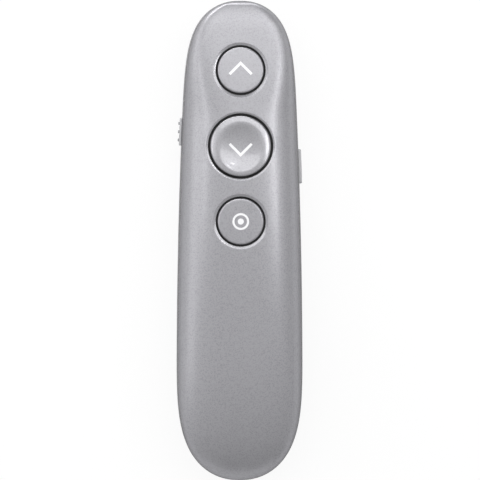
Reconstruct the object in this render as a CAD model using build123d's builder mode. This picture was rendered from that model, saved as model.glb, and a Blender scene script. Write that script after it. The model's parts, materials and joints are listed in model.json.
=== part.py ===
from build123d import *
import os
from math import cos, pi, sin

os.makedirs("parts", exist_ok=True)

# Wireless presentation clicker, in millimetres.
# X is across the body, +Y runs to the laser end and +Z is up. The flat underside rests on z = 0.

# ---- Driving dimensions of the body ----
LENGTH = 130.0
HALF = LENGTH / 2
WIDEST = 34.1                # full width, a little behind the middle
SEAM_Z = 10.5                # height of the seam, where the body is widest
CROWN = 12.6                 # rise of the top above the seam at mid length
KEEL = 11.3                  # drop of the underside below the seam, before the flat is cut
TOP_POWER = 2.7              # squareness of the cross-section above the seam
NOSE_POWER = 7.0             # and at the nose, where the top meets the side in a crisper edge
CRISP_FROM = 32.0            # the squareness starts to go up here
NOSE_ZONE = 8.0              # the top droops over this stretch before the nose's tip
NOSE_DROOP = 0.12            # by this share of its rise
NOSE_EDGE = 1.8              # reach of the edge around the nose's tip
KEEL_POWER = 2.8             # squareness of the cross-section below the seam
WALL = 1.8
FLOOR = 1.6                  # thickness of the flat underside
SEAM_GAP = 0.12
STATIONS = 12                # sections between each end and the middle
SECTION_POINTS = 40
TIP_FLAT = 0.03              # the form stops this short of each tip, on a tiny flat
FIT_GAP = 0.05               # play around a round piece in its seat

TONGUE_OUT = 1.0             # tongue of the top shell, measured in from the outside
TONGUE_IN = 1.9
TONGUE_LOW = 9.3

# ---- Keys: place along the body, cap radius, hole radius, lip fillet, collar bottom ----
SMALL_CAP = 6.22
SMALL_HOLE = 6.75
SMALL_LIP = 0.75
LARGE_CAP = 8.22
LARGE_HOLE = 8.85
LARGE_LIP = 0.5
PREVIOUS_Y = 46.1
NEXT_Y = 25.55
LASER_Y = 5.15
LOW_COLLAR_Z = 18.9
HIGH_COLLAR_Z = 20.0
COLLAR_WALL = 1.2
CAP_PROUD = 0.3
CAP_EDGE = 0.45
LARGE_CAP_EDGE = 0.7
CAP_WALL = 1.1
FLANGE = 0.85
FLANGE_REACH = 0.95          # how far the flange reaches past the hole
KEY_PLAY = 0.05
POST_RADIUS = 1.7
KEY_TRAVEL = 0.45
DISH_RADIUS = 6.5            # hollow in the middle key
DISH_DEPTH = 1.1
DISH_POWER = 2.8             # how much steeper the hollow gets towards its edge
DISH_EDGE = 0.5
CROWN_THICK = 1.3            # thickness of a cap over its hollow
MARK_DEPTH = 0.45            # the marks are inlaid this deep
CHEVRON_HALF = 3.0
STROKE = 0.72
RING_OUT = 2.25
RING_IN = 1.7
DOT = 0.83

# ---- Board and switches ----
BOARD_Z = 14.4
BOARD_THICK = 1.2
BOARD_TOP = BOARD_Z + BOARD_THICK
BOARD_TAIL_Y = -5.0
BOARD_NOSE_Y = 50.0
SWITCH_SIDE = 6.0
SWITCH_HIGH = 3.1
PLUNGER_RADIUS = 1.6
PLUNGER_TOP = 19.9
PLUNGER_FOOT = 18.15

# ---- Side controls, both centred on the seam ----
KNOB_Y = 29.55
KNOB_LONG = 7.5
KNOB_HIGH = 3.6
KNOB_FACE = 0.6              # the pad stands this far out of the body
KNOB_GAP = 0.06              # and clears the body's side by this
KNOB_TRAVEL = 2.0
STEM_HALF = 1.5
RIB_PITCH = 2.24
RIB_THICK = 0.8
RIB_HIGH = 0.33
RIB_HALF = 1.4
SIDE_KEY_Y = 20.15
SIDE_KEY_LONG = 9.3
SIDE_KEY_HIGH = 3.2
SIDE_KEY_FACE = 0.7
SIDE_FLANGE_X = 13.9         # outer face of the side key's stop flange
SIDE_SWITCH_Z = 12.2
SIDE_PLUNGER_X = 12.48       # tip of the side switch's plunger
SIDE_PLUNGER_RADIUS = 0.9
SIDE_SWITCH_LOW = 10.8
POWER_LEVER_Z = 12.65
POWER_LEVER_HALF = 0.75

# ---- Laser module, on the seam's axis ----
BARREL_RADIUS = 3.1
BARREL_BORE = 2.4
BARREL_REAR = 50.0
BARREL_FRONT = 61.3
BEZEL_RADIUS = 3.6
BEZEL_BORE = 1.3
WINDOW_RADIUS = 1.85

# ---- Battery, its bay and its door ----
CELL_RADIUS = 5.25           # AAA cell
CELL_LONG = 44.5
CELL_Z = 7.35
BAY_TAIL_Y = -43.5
BAY_NOSE_Y = 6.5
BAY_HALF = 6.2
BAY_OUTSIDE = 7.9
BAY_ROOF = 12.9
ROOF_THICK = 1.2
BAY_END = 1.2
DOOR_TAIL_Y = -46.6
DOOR_NOSE_Y = 8.2
DOOR_HALF = 7.15
DOOR_INSET = 0.1
DOOR_GAP = 0.15
HOOK_LOW = 2.4               # the door's tail hooks, over the floor
HOOK_THICK = 1.0
HOOK_LONG = 1.5
LATCH_HALF = 3.0             # the tab at the door's nose end
LATCH_TOP = 3.4
SHEET = 0.4                  # contact metal
CONTACT_HALF = 4.0
CONTACT_TOP = 11.5
STRIP_HALF = 1.5             # the strips that reach from the contacts up through the roof
LEAD_START_X = 4.7           # where the lead meets the positive contact's strip

# ---- Receiver that parks in the tail ----
PLUG_WIDE = 12.0             # USB-A plug shell
PLUG_HIGH = 4.5
PLUG_LONG = 12.0
PLUG_Z = 7.3
PLUG_SHEET = 0.3
CAP_HALF = 7.25
CAP_FRONT_Y = -58.5
CAP_LOW_Z = 4.2
CAP_HIGH_Z = 10.4
CAP_GAP = 0.15
TUNNEL_END_Y = -48.8
USB_BOARD_HALF = 5.5
USB_BOARD_Z = 6.55
USB_BOARD_IN = 3.3           # how far the receiver's board reaches into its cap
TONGUE_Z = 7.45              # underside of the tongue that carries the contacts

# ---- Screws ----
HOUSING_SCREWS = [(7.3, 53.2), (-7.3, 53.2), (11.3, -38.0), (-11.3, -38.0)]
BOARD_SCREWS = [(9.8, 36.3), (-9.8, 36.3), (9.8, 14.6), (-9.8, 14.6)]
SEAT_Z = 5.0                 # the heads of the housing screws bear here
SCREW_RADIUS = 0.9
HEAD_RADIUS = 2.0
HEAD_HIGH = 1.4
SMALL_SCREW_RADIUS = 0.75
SMALL_HEAD_RADIUS = 1.7
SMALL_HEAD_HIGH = 1.1


# ---- The body's form: every shell is this form, drawn in by some inset ----

def swell(distance, reach, fullness, roundness):
    """Rise from 0 at the tip to 1 at reach: a blunt, rounded end."""
    left = 1 - min(distance / reach, 1)
    return (1 - left**fullness) ** (1 / roundness)


def half_width(y):
    """Half the body's width at the seam."""
    u = y / HALF
    plain = WIDEST / 2 - 0.39 - 1.45 * u - 1.27 * u * u
    return plain * swell(HALF - y, 42, 5.9, 2.14) * swell(HALF + y, 37, 3.9, 2.14)


def top_rise(y):
    """Height of the top over the seam, on the centre line."""
    u = y / HALF
    plain = CROWN + 1.0 * u - 3.6 * u * u
    droop = 1 - NOSE_DROOP * max(1 - (HALF - y) / NOSE_ZONE, 0) ** 2.5
    return plain * droop * swell(HALF - y, NOSE_EDGE, 4.0, 5.0) * swell(HALF + y, 38, 3.2, 2.1)


def top_power(y):
    """Squareness of the cross-section above the seam, in an S curve towards the nose."""
    share = max((y - CRISP_FROM) / (HALF - CRISP_FROM), 0)
    return TOP_POWER + (NOSE_POWER - TOP_POWER) * share**2 * (3 - 2 * share)


def keel_drop(y):
    """Depth of the underside below the seam, on the centre line."""
    u = y / HALF
    plain = KEEL - 1.4 * u * u
    return plain * swell(HALF - y, 16, 3, 2.6) * swell(HALF + y, 26, 3, 2.1)


def outline_point(turn, wide, rise, drop, power_above):
    """A point of the cross-section, a squared ellipse with a flatter lower half."""
    across, up = cos(turn), sin(turn)
    power = power_above if up >= 0 else KEEL_POWER
    height = rise if up >= 0 else drop
    radius = (abs(across) ** power + abs(up) ** power) ** (1 / power)
    return Vector(wide * across / radius, height * up / radius)


def body_form(inset=0.0):
    """The closed body, lofted from end to end, with its surface drawn in by inset."""
    wide_scale = 1 - inset / (WIDEST / 2)
    long_scale = 1 - inset / HALF
    rise_scale = 1 - inset / CROWN
    drop_scale = 1 - inset / KEEL
    reach = HALF - TIP_FLAT
    near = [TIP_FLAT + reach * (i / (STATIONS + 1)) ** 3 for i in range(STATIONS + 1)]
    places = [-HALF + step for step in near] + [0.0] + [HALF - step for step in reversed(near)]
    knots = [i / SECTION_POINTS for i in range(SECTION_POINTS + 1)]
    turns = [2 * pi * knot - pi / 2 for knot in knots[:-1]]      # the join runs along the keel
    sections = []
    for y in places:
        wide = half_width(y) * wide_scale
        rise = top_rise(y) * rise_scale
        drop = keel_drop(y) * drop_scale
        points = [outline_point(turn, wide, rise, drop, top_power(y)) for turn in turns]
        across = Plane((0, y * long_scale, SEAM_Z), x_dir=(1, 0, 0), z_dir=(0, -1, 0))
        with BuildSketch(across) as section:
            with BuildLine():
                add(Edge.make_spline(points, periodic=True, parameters=knots))
            make_face()
        sections.append(section.sketch)
    with BuildPart() as form:
        loft(sections)
    return form.part


OUTER = body_form()
CORE = body_form(WALL)
RIB_LIMIT = body_form(0.8 * WALL)    # ribs run this deep into a wall and no further


def finish_piece(piece, name):
    """Label a finished piece and write it to its own file."""
    piece.part.label = name
    export_step(piece.part, f"parts/{name}.step")


def block(low, high, mode=Mode.ADD):
    """A box between two corners, added to the part being built."""
    size = [b - a for a, b in zip(low, high)]
    centre = [(a + b) / 2 for a, b in zip(low, high)]
    with Locations(tuple(centre)):
        Box(*size, mode=mode)


def pin(x, y, low, high, radius, mode=Mode.ADD):
    """An upright cylinder, added to the part being built."""
    with Locations((x, y, (low + high) / 2)):
        Cylinder(radius, high - low, mode=mode)


def rod(low, high, radius, mode=Mode.ADD, z=SEAM_Z):
    """A cylinder along Y from low to high, on the centre line, added to the part being built."""
    with Locations(Location((0, (low + high) / 2, z), (90, 0, 0))):
        Cylinder(radius, high - low, mode=mode)


def cross_bar(low, high, y, z, radius, mode=Mode.ADD):
    """A cylinder along X from low to high, added to the part being built."""
    with Locations(Location(((low + high) / 2, y, z), (0, 90, 0))):
        Cylinder(radius, high - low, mode=mode)


# ---- Sizes that several pieces share ----
KEYS = {
    "previous": (PREVIOUS_Y, SMALL_CAP, SMALL_HOLE, SMALL_LIP, LOW_COLLAR_Z),
    "next": (NEXT_Y, LARGE_CAP, LARGE_HOLE, LARGE_LIP, LOW_COLLAR_Z),
    "laser": (LASER_Y, SMALL_CAP, SMALL_HOLE, SMALL_LIP, HIGH_COLLAR_Z),
}
ABOVE = SEAM_Z + 2 * CROWN           # higher than anything on the body
SWITCH_TOP = BOARD_TOP + SWITCH_HIGH
ROOF_TOP = BAY_ROOF + ROOF_THICK
CRADLES = [52.0, 59.0]               # ribs under the laser barrel
CLAMPS = [55.4, 59.0]                # ribs over it, clear of the first key's flange
HOOK_XS = [-4.2, 4.2]                # the door's tail hooks
HOOK_HALF = 1.3
LEAD_X = 5.8                         # the battery lead's run between its clips
LEAD_Z = BOARD_Z + BOARD_THICK / 2
LEAD_CLIPS = [-27.0, -19.0]
SLOT_LOW_Y = KNOB_Y - STEM_HALF - 0.15       # slot that the knob's stem slides in
SLOT_HIGH_Y = KNOB_Y + KNOB_TRAVEL + STEM_HALF + 0.15
SLOT_HALF_HIGH = 1.1
PAD_HOLE_LONG = SIDE_KEY_LONG + 0.4
PAD_HOLE_HIGH = SIDE_KEY_HIGH + 0.4
SCREW_LANDING = 3.2                  # radius of the posts that the housing screws pass through
HOUSING_BOSS = 2.4                   # radius of the posts that they bite into
BOARD_BOSS = 2.2
HOUSING_BITE = 4.3                   # how far the screws reach in past the seam, or past the board
BOARD_BITE = 2.4
RIB_REACH = 4.2                      # half the width of the ribs around the laser barrel
RIB_WALL = 1.2
RIB_CLEAR = 1.2                      # the ribs stop this far from the seam


def cut_side_openings():
    """Cut the power knob's slot and the side key's window through the part being built."""
    block((-WIDEST, SLOT_LOW_Y, SEAM_Z - SLOT_HALF_HIGH),
          (-10.0, SLOT_HIGH_Y, SEAM_Z + SLOT_HALF_HIGH), mode=Mode.SUBTRACT)
    block((10.0, SIDE_KEY_Y - PAD_HOLE_LONG / 2, SEAM_Z - PAD_HOLE_HIGH / 2),
          (WIDEST, SIDE_KEY_Y + PAD_HOLE_LONG / 2, SEAM_Z + PAD_HOLE_HIGH / 2), mode=Mode.SUBTRACT)


def cut_ends(pocket_top=SEAM_Z + SEAM_GAP / 2):
    """Cut the laser's bore and the receiver's pocket through the part being built."""
    rod(BARREL_FRONT - 1.5, LENGTH, BEZEL_RADIUS + FIT_GAP, mode=Mode.SUBTRACT)
    block((-CAP_HALF - CAP_GAP, -LENGTH, CAP_LOW_Z - CAP_GAP),
          (CAP_HALF + CAP_GAP, CAP_FRONT_Y + 0.2, pocket_top), mode=Mode.SUBTRACT)


def seam_band(outside, inside, low, high):
    """The band of wall between two insets that a tongue or its groove takes up along the seam."""
    with BuildPart() as band:
        add(body_form(outside))
        cut_ends(pocket_top=ABOVE)
        split(bisect_by=Plane.XY.offset(high), keep=Keep.BOTTOM)
        split(bisect_by=Plane.XY.offset(low), keep=Keep.TOP)
        add(body_form(inside), mode=Mode.SUBTRACT)
    return band.part


# ---- Top shell: key collars, screw bosses, laser clamps and the tongue along its edge ----
with BuildPart() as top_ribs:
    for y, cap, hole, lip, collar_z in KEYS.values():
        pin(0, y, collar_z, ABOVE, hole + COLLAR_WALL)
    for y, cap, hole, lip, collar_z in KEYS.values():
        pin(0, y, collar_z, ABOVE, hole, mode=Mode.SUBTRACT)
    for x, y in HOUSING_SCREWS:
        pin(x, y, SEAM_Z + SEAM_GAP / 2, ABOVE, HOUSING_BOSS)
    for x, y in BOARD_SCREWS:
        pin(x, y, BOARD_TOP, ABOVE, BOARD_BOSS)
    for y in CLAMPS:
        block((-RIB_REACH, y - RIB_WALL / 2, SEAM_Z + RIB_CLEAR), (RIB_REACH, y + RIB_WALL / 2, ABOVE))
    rod(BARREL_REAR, BARREL_FRONT, BARREL_RADIUS + FIT_GAP, mode=Mode.SUBTRACT)
    add(RIB_LIMIT, mode=Mode.INTERSECT)

with BuildPart() as top_shell:
    add(OUTER)
    split(bisect_by=Plane.XY.offset(SEAM_Z + SEAM_GAP / 2), keep=Keep.TOP)
    add(CORE, mode=Mode.SUBTRACT)
    for y, cap, hole, lip, collar_z in KEYS.values():
        pin(0, y, collar_z, ABOVE, hole, mode=Mode.SUBTRACT)
        rim = top_shell.edges(Select.LAST).sort_by(Axis.Z)[-1]
        fillet(rim, lip)
    add(top_ribs.part)
    add(seam_band(TONGUE_OUT, TONGUE_IN, TONGUE_LOW, SEAM_Z + 0.5))
    for x, y in HOUSING_SCREWS:
        pin(x, y, SEAM_Z, SEAM_Z + HOUSING_BITE + 0.2, SCREW_RADIUS, mode=Mode.SUBTRACT)
    for x, y in BOARD_SCREWS:
        pin(x, y, BOARD_TOP, BOARD_TOP + BOARD_BITE + 0.2, SMALL_SCREW_RADIUS, mode=Mode.SUBTRACT)
    cut_ends()
    cut_side_openings()
finish_piece(top_shell, "top_shell")

# ---- Bottom shell: flat underside, battery bay, screw posts, laser cradle, receiver tunnel ----
with BuildPart() as bottom_ribs:
    for x, y in HOUSING_SCREWS:
        pin(x, y, 0, SEAM_Z - SEAM_GAP / 2, SCREW_LANDING)
    for y in CRADLES:
        block((-RIB_REACH, y - RIB_WALL / 2, 0), (RIB_REACH, y + RIB_WALL / 2, SEAM_Z - RIB_CLEAR))
    rod(BARREL_REAR, BARREL_FRONT, BARREL_RADIUS + FIT_GAP, mode=Mode.SUBTRACT)
    block((-BAY_OUTSIDE, BAY_TAIL_Y - BAY_END, FLOOR / 2), (BAY_OUTSIDE, BAY_NOSE_Y + BAY_END, SEAM_Z))
    block((-BAY_OUTSIDE, -58.2, FLOOR / 2), (BAY_OUTSIDE, TUNNEL_END_Y, SEAM_Z - SEAM_GAP / 2))
    add(RIB_LIMIT, mode=Mode.INTERSECT)
    block((-BAY_OUTSIDE, BAY_TAIL_Y - BAY_END, SEAM_Z), (BAY_OUTSIDE, BAY_NOSE_Y + BAY_END, ROOF_TOP))
    for y in LEAD_CLIPS:
        for x in (LEAD_X - 1.1, LEAD_X + 1.1):
            block((x - 0.4, y - 0.8, ROOF_TOP - 0.2), (x + 0.4, y + 0.8, LEAD_Z + 0.4))

with BuildPart() as bottom_hollow:
    add(CORE)
    split(bisect_by=Plane.XY.offset(FLOOR), keep=Keep.TOP)

with BuildPart() as bottom_shell:
    add(OUTER)
    split(bisect_by=Plane.XY, keep=Keep.TOP)
    split(bisect_by=Plane.XY.offset(SEAM_Z - SEAM_GAP / 2), keep=Keep.BOTTOM)
    add(bottom_hollow.part, mode=Mode.SUBTRACT)
    add(seam_band(TONGUE_OUT - 0.05, WALL + 0.4, TONGUE_LOW - 0.1, SEAM_Z + 0.5), mode=Mode.SUBTRACT)
    add(bottom_ribs.part)
    # the battery bay and the opening that the door closes
    block((-BAY_HALF, BAY_TAIL_Y, FLOOR + 0.15), (BAY_HALF, BAY_NOSE_Y, BAY_ROOF), mode=Mode.SUBTRACT)
    block((-DOOR_HALF - DOOR_GAP, DOOR_TAIL_Y - DOOR_GAP, -1),
          (DOOR_HALF + DOOR_GAP, DOOR_NOSE_Y + DOOR_GAP, FLOOR + 0.15), mode=Mode.SUBTRACT)
    block((-LATCH_HALF - 0.4, BAY_NOSE_Y - 1, FLOOR),
          (LATCH_HALF + 0.4, DOOR_NOSE_Y + DOOR_GAP, LATCH_TOP + 0.2), mode=Mode.SUBTRACT)
    for x in HOOK_XS:
        block((x - HOOK_HALF - 0.2, DOOR_TAIL_Y - DOOR_GAP, 0),
              (x + HOOK_HALF + 0.2, BAY_TAIL_Y + 0.1, HOOK_LOW + HOOK_THICK + 0.5), mode=Mode.SUBTRACT)
    # slots in the roof for the two contact strips
    block((-STRIP_HALF - 0.2, BAY_NOSE_Y - 0.6, BAY_ROOF - 0.1),
          (STRIP_HALF + 0.2, BAY_NOSE_Y, ROOF_TOP + 1), mode=Mode.SUBTRACT)
    block((LEAD_START_X - STRIP_HALF + 0.1, BAY_TAIL_Y, BAY_ROOF - 0.1),
          (LEAD_START_X + STRIP_HALF - 0.1, BAY_TAIL_Y + 0.6, ROOF_TOP + 1), mode=Mode.SUBTRACT)
    # housing screws pass up through their posts
    for x, y in HOUSING_SCREWS:
        pin(x, y, -1, SEAT_Z, HEAD_RADIUS + 0.3, mode=Mode.SUBTRACT)
        pin(x, y, -1, SEAM_Z, SCREW_RADIUS + 0.15, mode=Mode.SUBTRACT)
    cut_ends()
    # the tunnel for the receiver's plug
    block((-PLUG_WIDE / 2 - 0.15, CAP_FRONT_Y, PLUG_Z - PLUG_HIGH / 2 - 0.15),
          (PLUG_WIDE / 2 + 0.15, TUNNEL_END_Y + 1, PLUG_Z + PLUG_HIGH / 2 + 0.15), mode=Mode.SUBTRACT)
    cut_side_openings()
finish_piece(bottom_shell, "bottom_shell")


# ---- Battery door: its outer face follows the underside, and its tail hooks reach over the floor ----
with BuildPart() as battery_door:
    block((-DOOR_HALF, DOOR_TAIL_Y, DOOR_INSET), (DOOR_HALF, DOOR_NOSE_Y, FLOOR))
    add(body_form(DOOR_INSET), mode=Mode.INTERSECT)
    for y in [3.8, 4.9, 6.0]:
        block((-4, y - 0.3, 0), (4, y + 0.3, DOOR_INSET + 0.3), mode=Mode.SUBTRACT)
    for x in HOOK_XS:
        hook_corner = (x + HOOK_HALF, DOOR_TAIL_Y + 1, HOOK_LOW + HOOK_THICK)
        block((x - HOOK_HALF, DOOR_TAIL_Y, FLOOR - 0.4), hook_corner)
        block((x - HOOK_HALF, DOOR_TAIL_Y - HOOK_LONG, HOOK_LOW), hook_corner)
    block((-LATCH_HALF, DOOR_NOSE_Y - 0.9, FLOOR - 0.4), (LATCH_HALF, DOOR_NOSE_Y - 0.2, LATCH_TOP))
finish_piece(battery_door, "battery_door")

# ---- Keys: a hollow cap that follows the body, a stop flange and a post over its switch ----
CAP_FORM = body_form(-CAP_PROUD)


def chevron(middle, way):
    """Two strokes that meet at a right angle, pointing to +Y or -Y."""
    half = CHEVRON_HALF
    end = STROKE / 2 / 2**0.5
    apex = STROKE / 2 * 2**0.5
    outline = [(-half - end, -half / 2 + end), (0, half / 2 + apex), (half + end, -half / 2 + end),
               (half - end, -half / 2 - end), (0, half / 2 - apex), (-half + end, -half / 2 - end)]
    Polygon(*[(x, middle + way * y) for x, y in outline], align=None)


def target():
    """A dot in a ring."""
    Circle(RING_OUT)
    Circle(RING_IN, mode=Mode.SUBTRACT)
    Circle(DOT)


def hollow(y, floor_z):
    """The thumb hollow's void: turned about the key's axis, and steeper towards its edge."""
    past = 1.25                          # the void runs on past the hollow's edge, over the rim
    steps = [past * i / 8 for i in range(9)]
    bowl = [(DISH_RADIUS * step, floor_z + DISH_DEPTH * step**DISH_POWER) for step in steps]
    slope = DISH_DEPTH * DISH_POWER * past ** (DISH_POWER - 1) / DISH_RADIUS
    with BuildPart() as void:
        with BuildSketch(Plane.XZ.offset(-y)):
            with BuildLine():
                Spline(*bowl, tangents=[(1, 0), (1, slope)])
                Polyline(bowl[-1], (bowl[-1][0], ABOVE), (0, ABOVE), bowl[0])
            make_face()
        revolve(axis=Axis((0, y, 0), (0, 0, 1)))
    return void.part


def build_key(y, cap_radius, hole, collar_z, symbol, edge=CAP_EDGE, dish=0.0):
    """A key's cap, and the mark that is inlaid in its top."""
    foot = collar_z - KEY_PLAY - FLANGE
    face = SEAM_Z + top_rise(y) + CAP_PROUD - dish       # top surface at the key's centre
    roof = face - CROWN_THICK
    with BuildPart() as cap:
        pin(0, y, foot, ABOVE, cap_radius)
        add(CAP_FORM, mode=Mode.INTERSECT)
        fillet(cap.edges().sort_by(Axis.Z)[-1], edge)
        if dish:
            add(hollow(y, face), mode=Mode.SUBTRACT)
            fillet(cap.edges(Select.LAST).sort_by(Axis.Z)[-1], DISH_EDGE)
        pin(0, y, foot, foot + FLANGE, hole + FLANGE_REACH)
        pin(0, y, foot, roof, cap_radius - CAP_WALL, mode=Mode.SUBTRACT)
        pin(0, y, PLUNGER_TOP + 0.02, roof + 0.2, POST_RADIUS)
    with BuildPart() as mark:
        with BuildSketch(Plane((0, y, face - MARK_DEPTH))):
            symbol()
        extrude(amount=5)
        add(cap.part, mode=Mode.INTERSECT)
    with BuildPart() as engraved:
        add(cap.part)
        add(mark.part, mode=Mode.SUBTRACT)
    return engraved, mark


previous_key, previous_mark = build_key(
    PREVIOUS_Y, SMALL_CAP, SMALL_HOLE, LOW_COLLAR_Z, lambda: chevron(0.4, 1))
next_key, next_mark = build_key(
    NEXT_Y, LARGE_CAP, LARGE_HOLE, LOW_COLLAR_Z, lambda: chevron(-0.9, -1), edge=LARGE_CAP_EDGE,
    dish=DISH_DEPTH)
laser_key, laser_mark = build_key(LASER_Y, SMALL_CAP, SMALL_HOLE, HIGH_COLLAR_Z, target)
finish_piece(previous_key, "previous_key")
finish_piece(previous_mark, "previous_mark")
finish_piece(next_key, "next_key")
finish_piece(next_mark, "next_mark")
finish_piece(laser_key, "laser_key")
finish_piece(laser_mark, "laser_mark")

# ---- The three key switches: a body on the board and a plunger under each post ----
for name, (y, cap, hole, lip, collar_z) in KEYS.items():
    with BuildPart() as switch:
        with Locations((0, y, BOARD_TOP + SWITCH_HIGH / 2)):
            Box(SWITCH_SIDE, SWITCH_SIDE, SWITCH_HIGH)
        chamfer(switch.edges().filter_by(Axis.Z), 0.4)
        pin(0, y, PLUNGER_FOOT - KEY_TRAVEL - 0.1, SWITCH_TOP, PLUNGER_RADIUS + 0.1, mode=Mode.SUBTRACT)
    finish_piece(switch, f"{name}_switch")

    with BuildPart() as plunger:
        pin(0, y, PLUNGER_FOOT, PLUNGER_TOP, PLUNGER_RADIUS)
        chamfer(plunger.edges().sort_by(Axis.Z)[-1], 0.2)
    finish_piece(plunger, f"{name}_plunger")

# ---- Main board and what is on it ----
with BuildPart() as main_board:
    with BuildSketch(Plane.XY.offset(BOARD_Z)):
        Polygon((-12.3, BOARD_TAIL_Y), (12.3, BOARD_TAIL_Y), (12.3, 36.5), (9.0, BOARD_NOSE_Y),
                (-9.0, BOARD_NOSE_Y), (-12.3, 36.5), align=None)
        fillet(vertices(), 1.5)
        with Locations(*BOARD_SCREWS):
            Circle(SMALL_SCREW_RADIUS + 0.15, mode=Mode.SUBTRACT)
    extrude(amount=BOARD_THICK)
finish_piece(main_board, "main_board")

with BuildPart() as radio_chip:
    block((-2.5, 21.0, BOARD_Z - 0.9), (2.5, 26.0, BOARD_Z))
    chamfer(radio_chip.edges().group_by(Axis.Z)[0], 0.15)
finish_piece(radio_chip, "radio_chip")

with BuildPart() as crystal:
    block((-1.6, 28.5, BOARD_Z - 0.8), (1.6, 31.0, BOARD_Z))
    fillet(crystal.edges().filter_by(Axis.Z), 0.4)
finish_piece(crystal, "crystal")

with BuildPart() as chip_parts:
    for x, y in [(4.6, 21.5), (4.6, 23.5), (4.6, 25.5), (-4.6, 22.0), (-4.6, 24.5), (3.6, 29.5),
                 (-3.6, 29.5), (0.0, 18.8), (2.6, 34.5), (-2.6, 34.5), (5.5, 43.0), (-5.5, 43.0)]:
        block((x - 0.8, y - 0.4, BOARD_Z - 0.5), (x + 0.8, y + 0.4, BOARD_Z))
finish_piece(chip_parts, "chip_parts")

# ---- Power slide on the left: ribbed pad, stem through the wall, and the plate behind it ----
KNOB_LOW_Y = KNOB_Y - KNOB_LONG / 2
KNOB_HIGH_Y = KNOB_Y + KNOB_LONG / 2
POWER_BODY_X = 12.0          # outer face of the slide switch
POWER_FORK = 0.8             # half the hole in the knob's plate that holds the switch's lever
PLATE_X = 13.4               # outer face of the plate behind the wall
PLATE_THICK = 0.8


def pad_back(y):
    """Where the knob's pad ends over the body's side."""
    return half_width(y) + KNOB_GAP


with BuildPart() as power_knob:
    with BuildSketch(Plane.XY.offset(SEAM_Z - KNOB_HIGH / 2)):
        Polygon((-pad_back(KNOB_LOW_Y), KNOB_LOW_Y), (-pad_back(KNOB_HIGH_Y), KNOB_HIGH_Y),
                (-half_width(KNOB_HIGH_Y) - KNOB_FACE, KNOB_HIGH_Y),
                (-half_width(KNOB_LOW_Y) - KNOB_FACE, KNOB_LOW_Y), align=None)
    extrude(amount=KNOB_HIGH)
    for step in (-1, 0, 1):
        y = KNOB_Y + step * RIB_PITCH
        face_x = half_width(y) + KNOB_FACE
        block((-face_x - RIB_HIGH, y - RIB_THICK / 2, SEAM_Z - RIB_HALF),
              (-face_x + 0.1, y + RIB_THICK / 2, SEAM_Z + RIB_HALF))
    stem_half = SLOT_HALF_HIGH - 0.1
    block((-pad_back(KNOB_Y) - 0.1, KNOB_Y - STEM_HALF, SEAM_Z - stem_half),
          (-PLATE_X + 0.4, KNOB_Y + STEM_HALF, SEAM_Z + stem_half))
    block((-PLATE_X, KNOB_Y - 3.5, SEAM_Z - 1.6), (-PLATE_X + PLATE_THICK, KNOB_Y + 3.5, SEAM_Z + 3.1))
    block((-PLATE_X - 0.6, KNOB_Y - POWER_FORK, POWER_LEVER_Z - POWER_FORK),
          (-POWER_BODY_X, KNOB_Y + POWER_FORK, POWER_LEVER_Z + POWER_FORK), mode=Mode.SUBTRACT)
finish_piece(power_knob, "power_knob")

with BuildPart() as power_switch:
    block((-POWER_BODY_X, KNOB_Y - 4.3, SIDE_SWITCH_LOW), (-8.4, KNOB_Y + 4.3, BOARD_Z))
    block((-POWER_BODY_X - 1, KNOB_Y - POWER_LEVER_HALF - 0.1, POWER_LEVER_Z - POWER_LEVER_HALF - 0.05),
          (-10.5, KNOB_Y + KNOB_TRAVEL + POWER_LEVER_HALF + 0.1, POWER_LEVER_Z + POWER_LEVER_HALF + 0.05),
          mode=Mode.SUBTRACT)
finish_piece(power_switch, "power_switch")

with BuildPart() as power_lever:
    block((-PLATE_X + 0.2, KNOB_Y - POWER_LEVER_HALF, POWER_LEVER_Z - POWER_LEVER_HALF),
          (-10.6, KNOB_Y + POWER_LEVER_HALF, POWER_LEVER_Z + POWER_LEVER_HALF))
finish_piece(power_lever, "power_lever")

# ---- Side key on the right, with its own switch ----
with BuildPart() as side_key:
    low_y = SIDE_KEY_Y - SIDE_KEY_LONG / 2
    high_y = SIDE_KEY_Y + SIDE_KEY_LONG / 2
    root_x = SIDE_FLANGE_X - 0.5
    with BuildSketch(Plane.XY.offset(SEAM_Z - SIDE_KEY_HIGH / 2)):
        Polygon((root_x, low_y), (half_width(low_y) + SIDE_KEY_FACE, low_y),
                (half_width(high_y) + SIDE_KEY_FACE, high_y), (root_x, high_y), align=None)
    extrude(amount=SIDE_KEY_HIGH)
    outer_corners = side_key.edges().filter_by(Axis.Z).sort_by(Axis.X)[2:].sort_by(Axis.Y)
    fillet(outer_corners[1], 1.0)
    fillet(outer_corners[0], 0.3)
    block((SIDE_FLANGE_X - 1, low_y - 1, SEAM_Z - 2.4), (SIDE_FLANGE_X, high_y + 1, SEAM_Z + 2.8))
    cross_bar(SIDE_PLUNGER_X + 0.02, root_x, SIDE_KEY_Y, SIDE_SWITCH_Z, SIDE_PLUNGER_RADIUS + 0.1)
finish_piece(side_key, "side_key")

with BuildPart() as side_switch:
    block((8.6, SIDE_KEY_Y - SWITCH_SIDE / 2, SIDE_SWITCH_LOW), (11.8, SIDE_KEY_Y + SWITCH_SIDE / 2, BOARD_Z))
    cross_bar(10.3, 12, SIDE_KEY_Y, SIDE_SWITCH_Z, SIDE_PLUNGER_RADIUS + 0.1, mode=Mode.SUBTRACT)
finish_piece(side_switch, "side_switch")

with BuildPart() as side_plunger:
    cross_bar(10.9, SIDE_PLUNGER_X, SIDE_KEY_Y, SIDE_SWITCH_Z, SIDE_PLUNGER_RADIUS)
finish_piece(side_plunger, "side_plunger")

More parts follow.
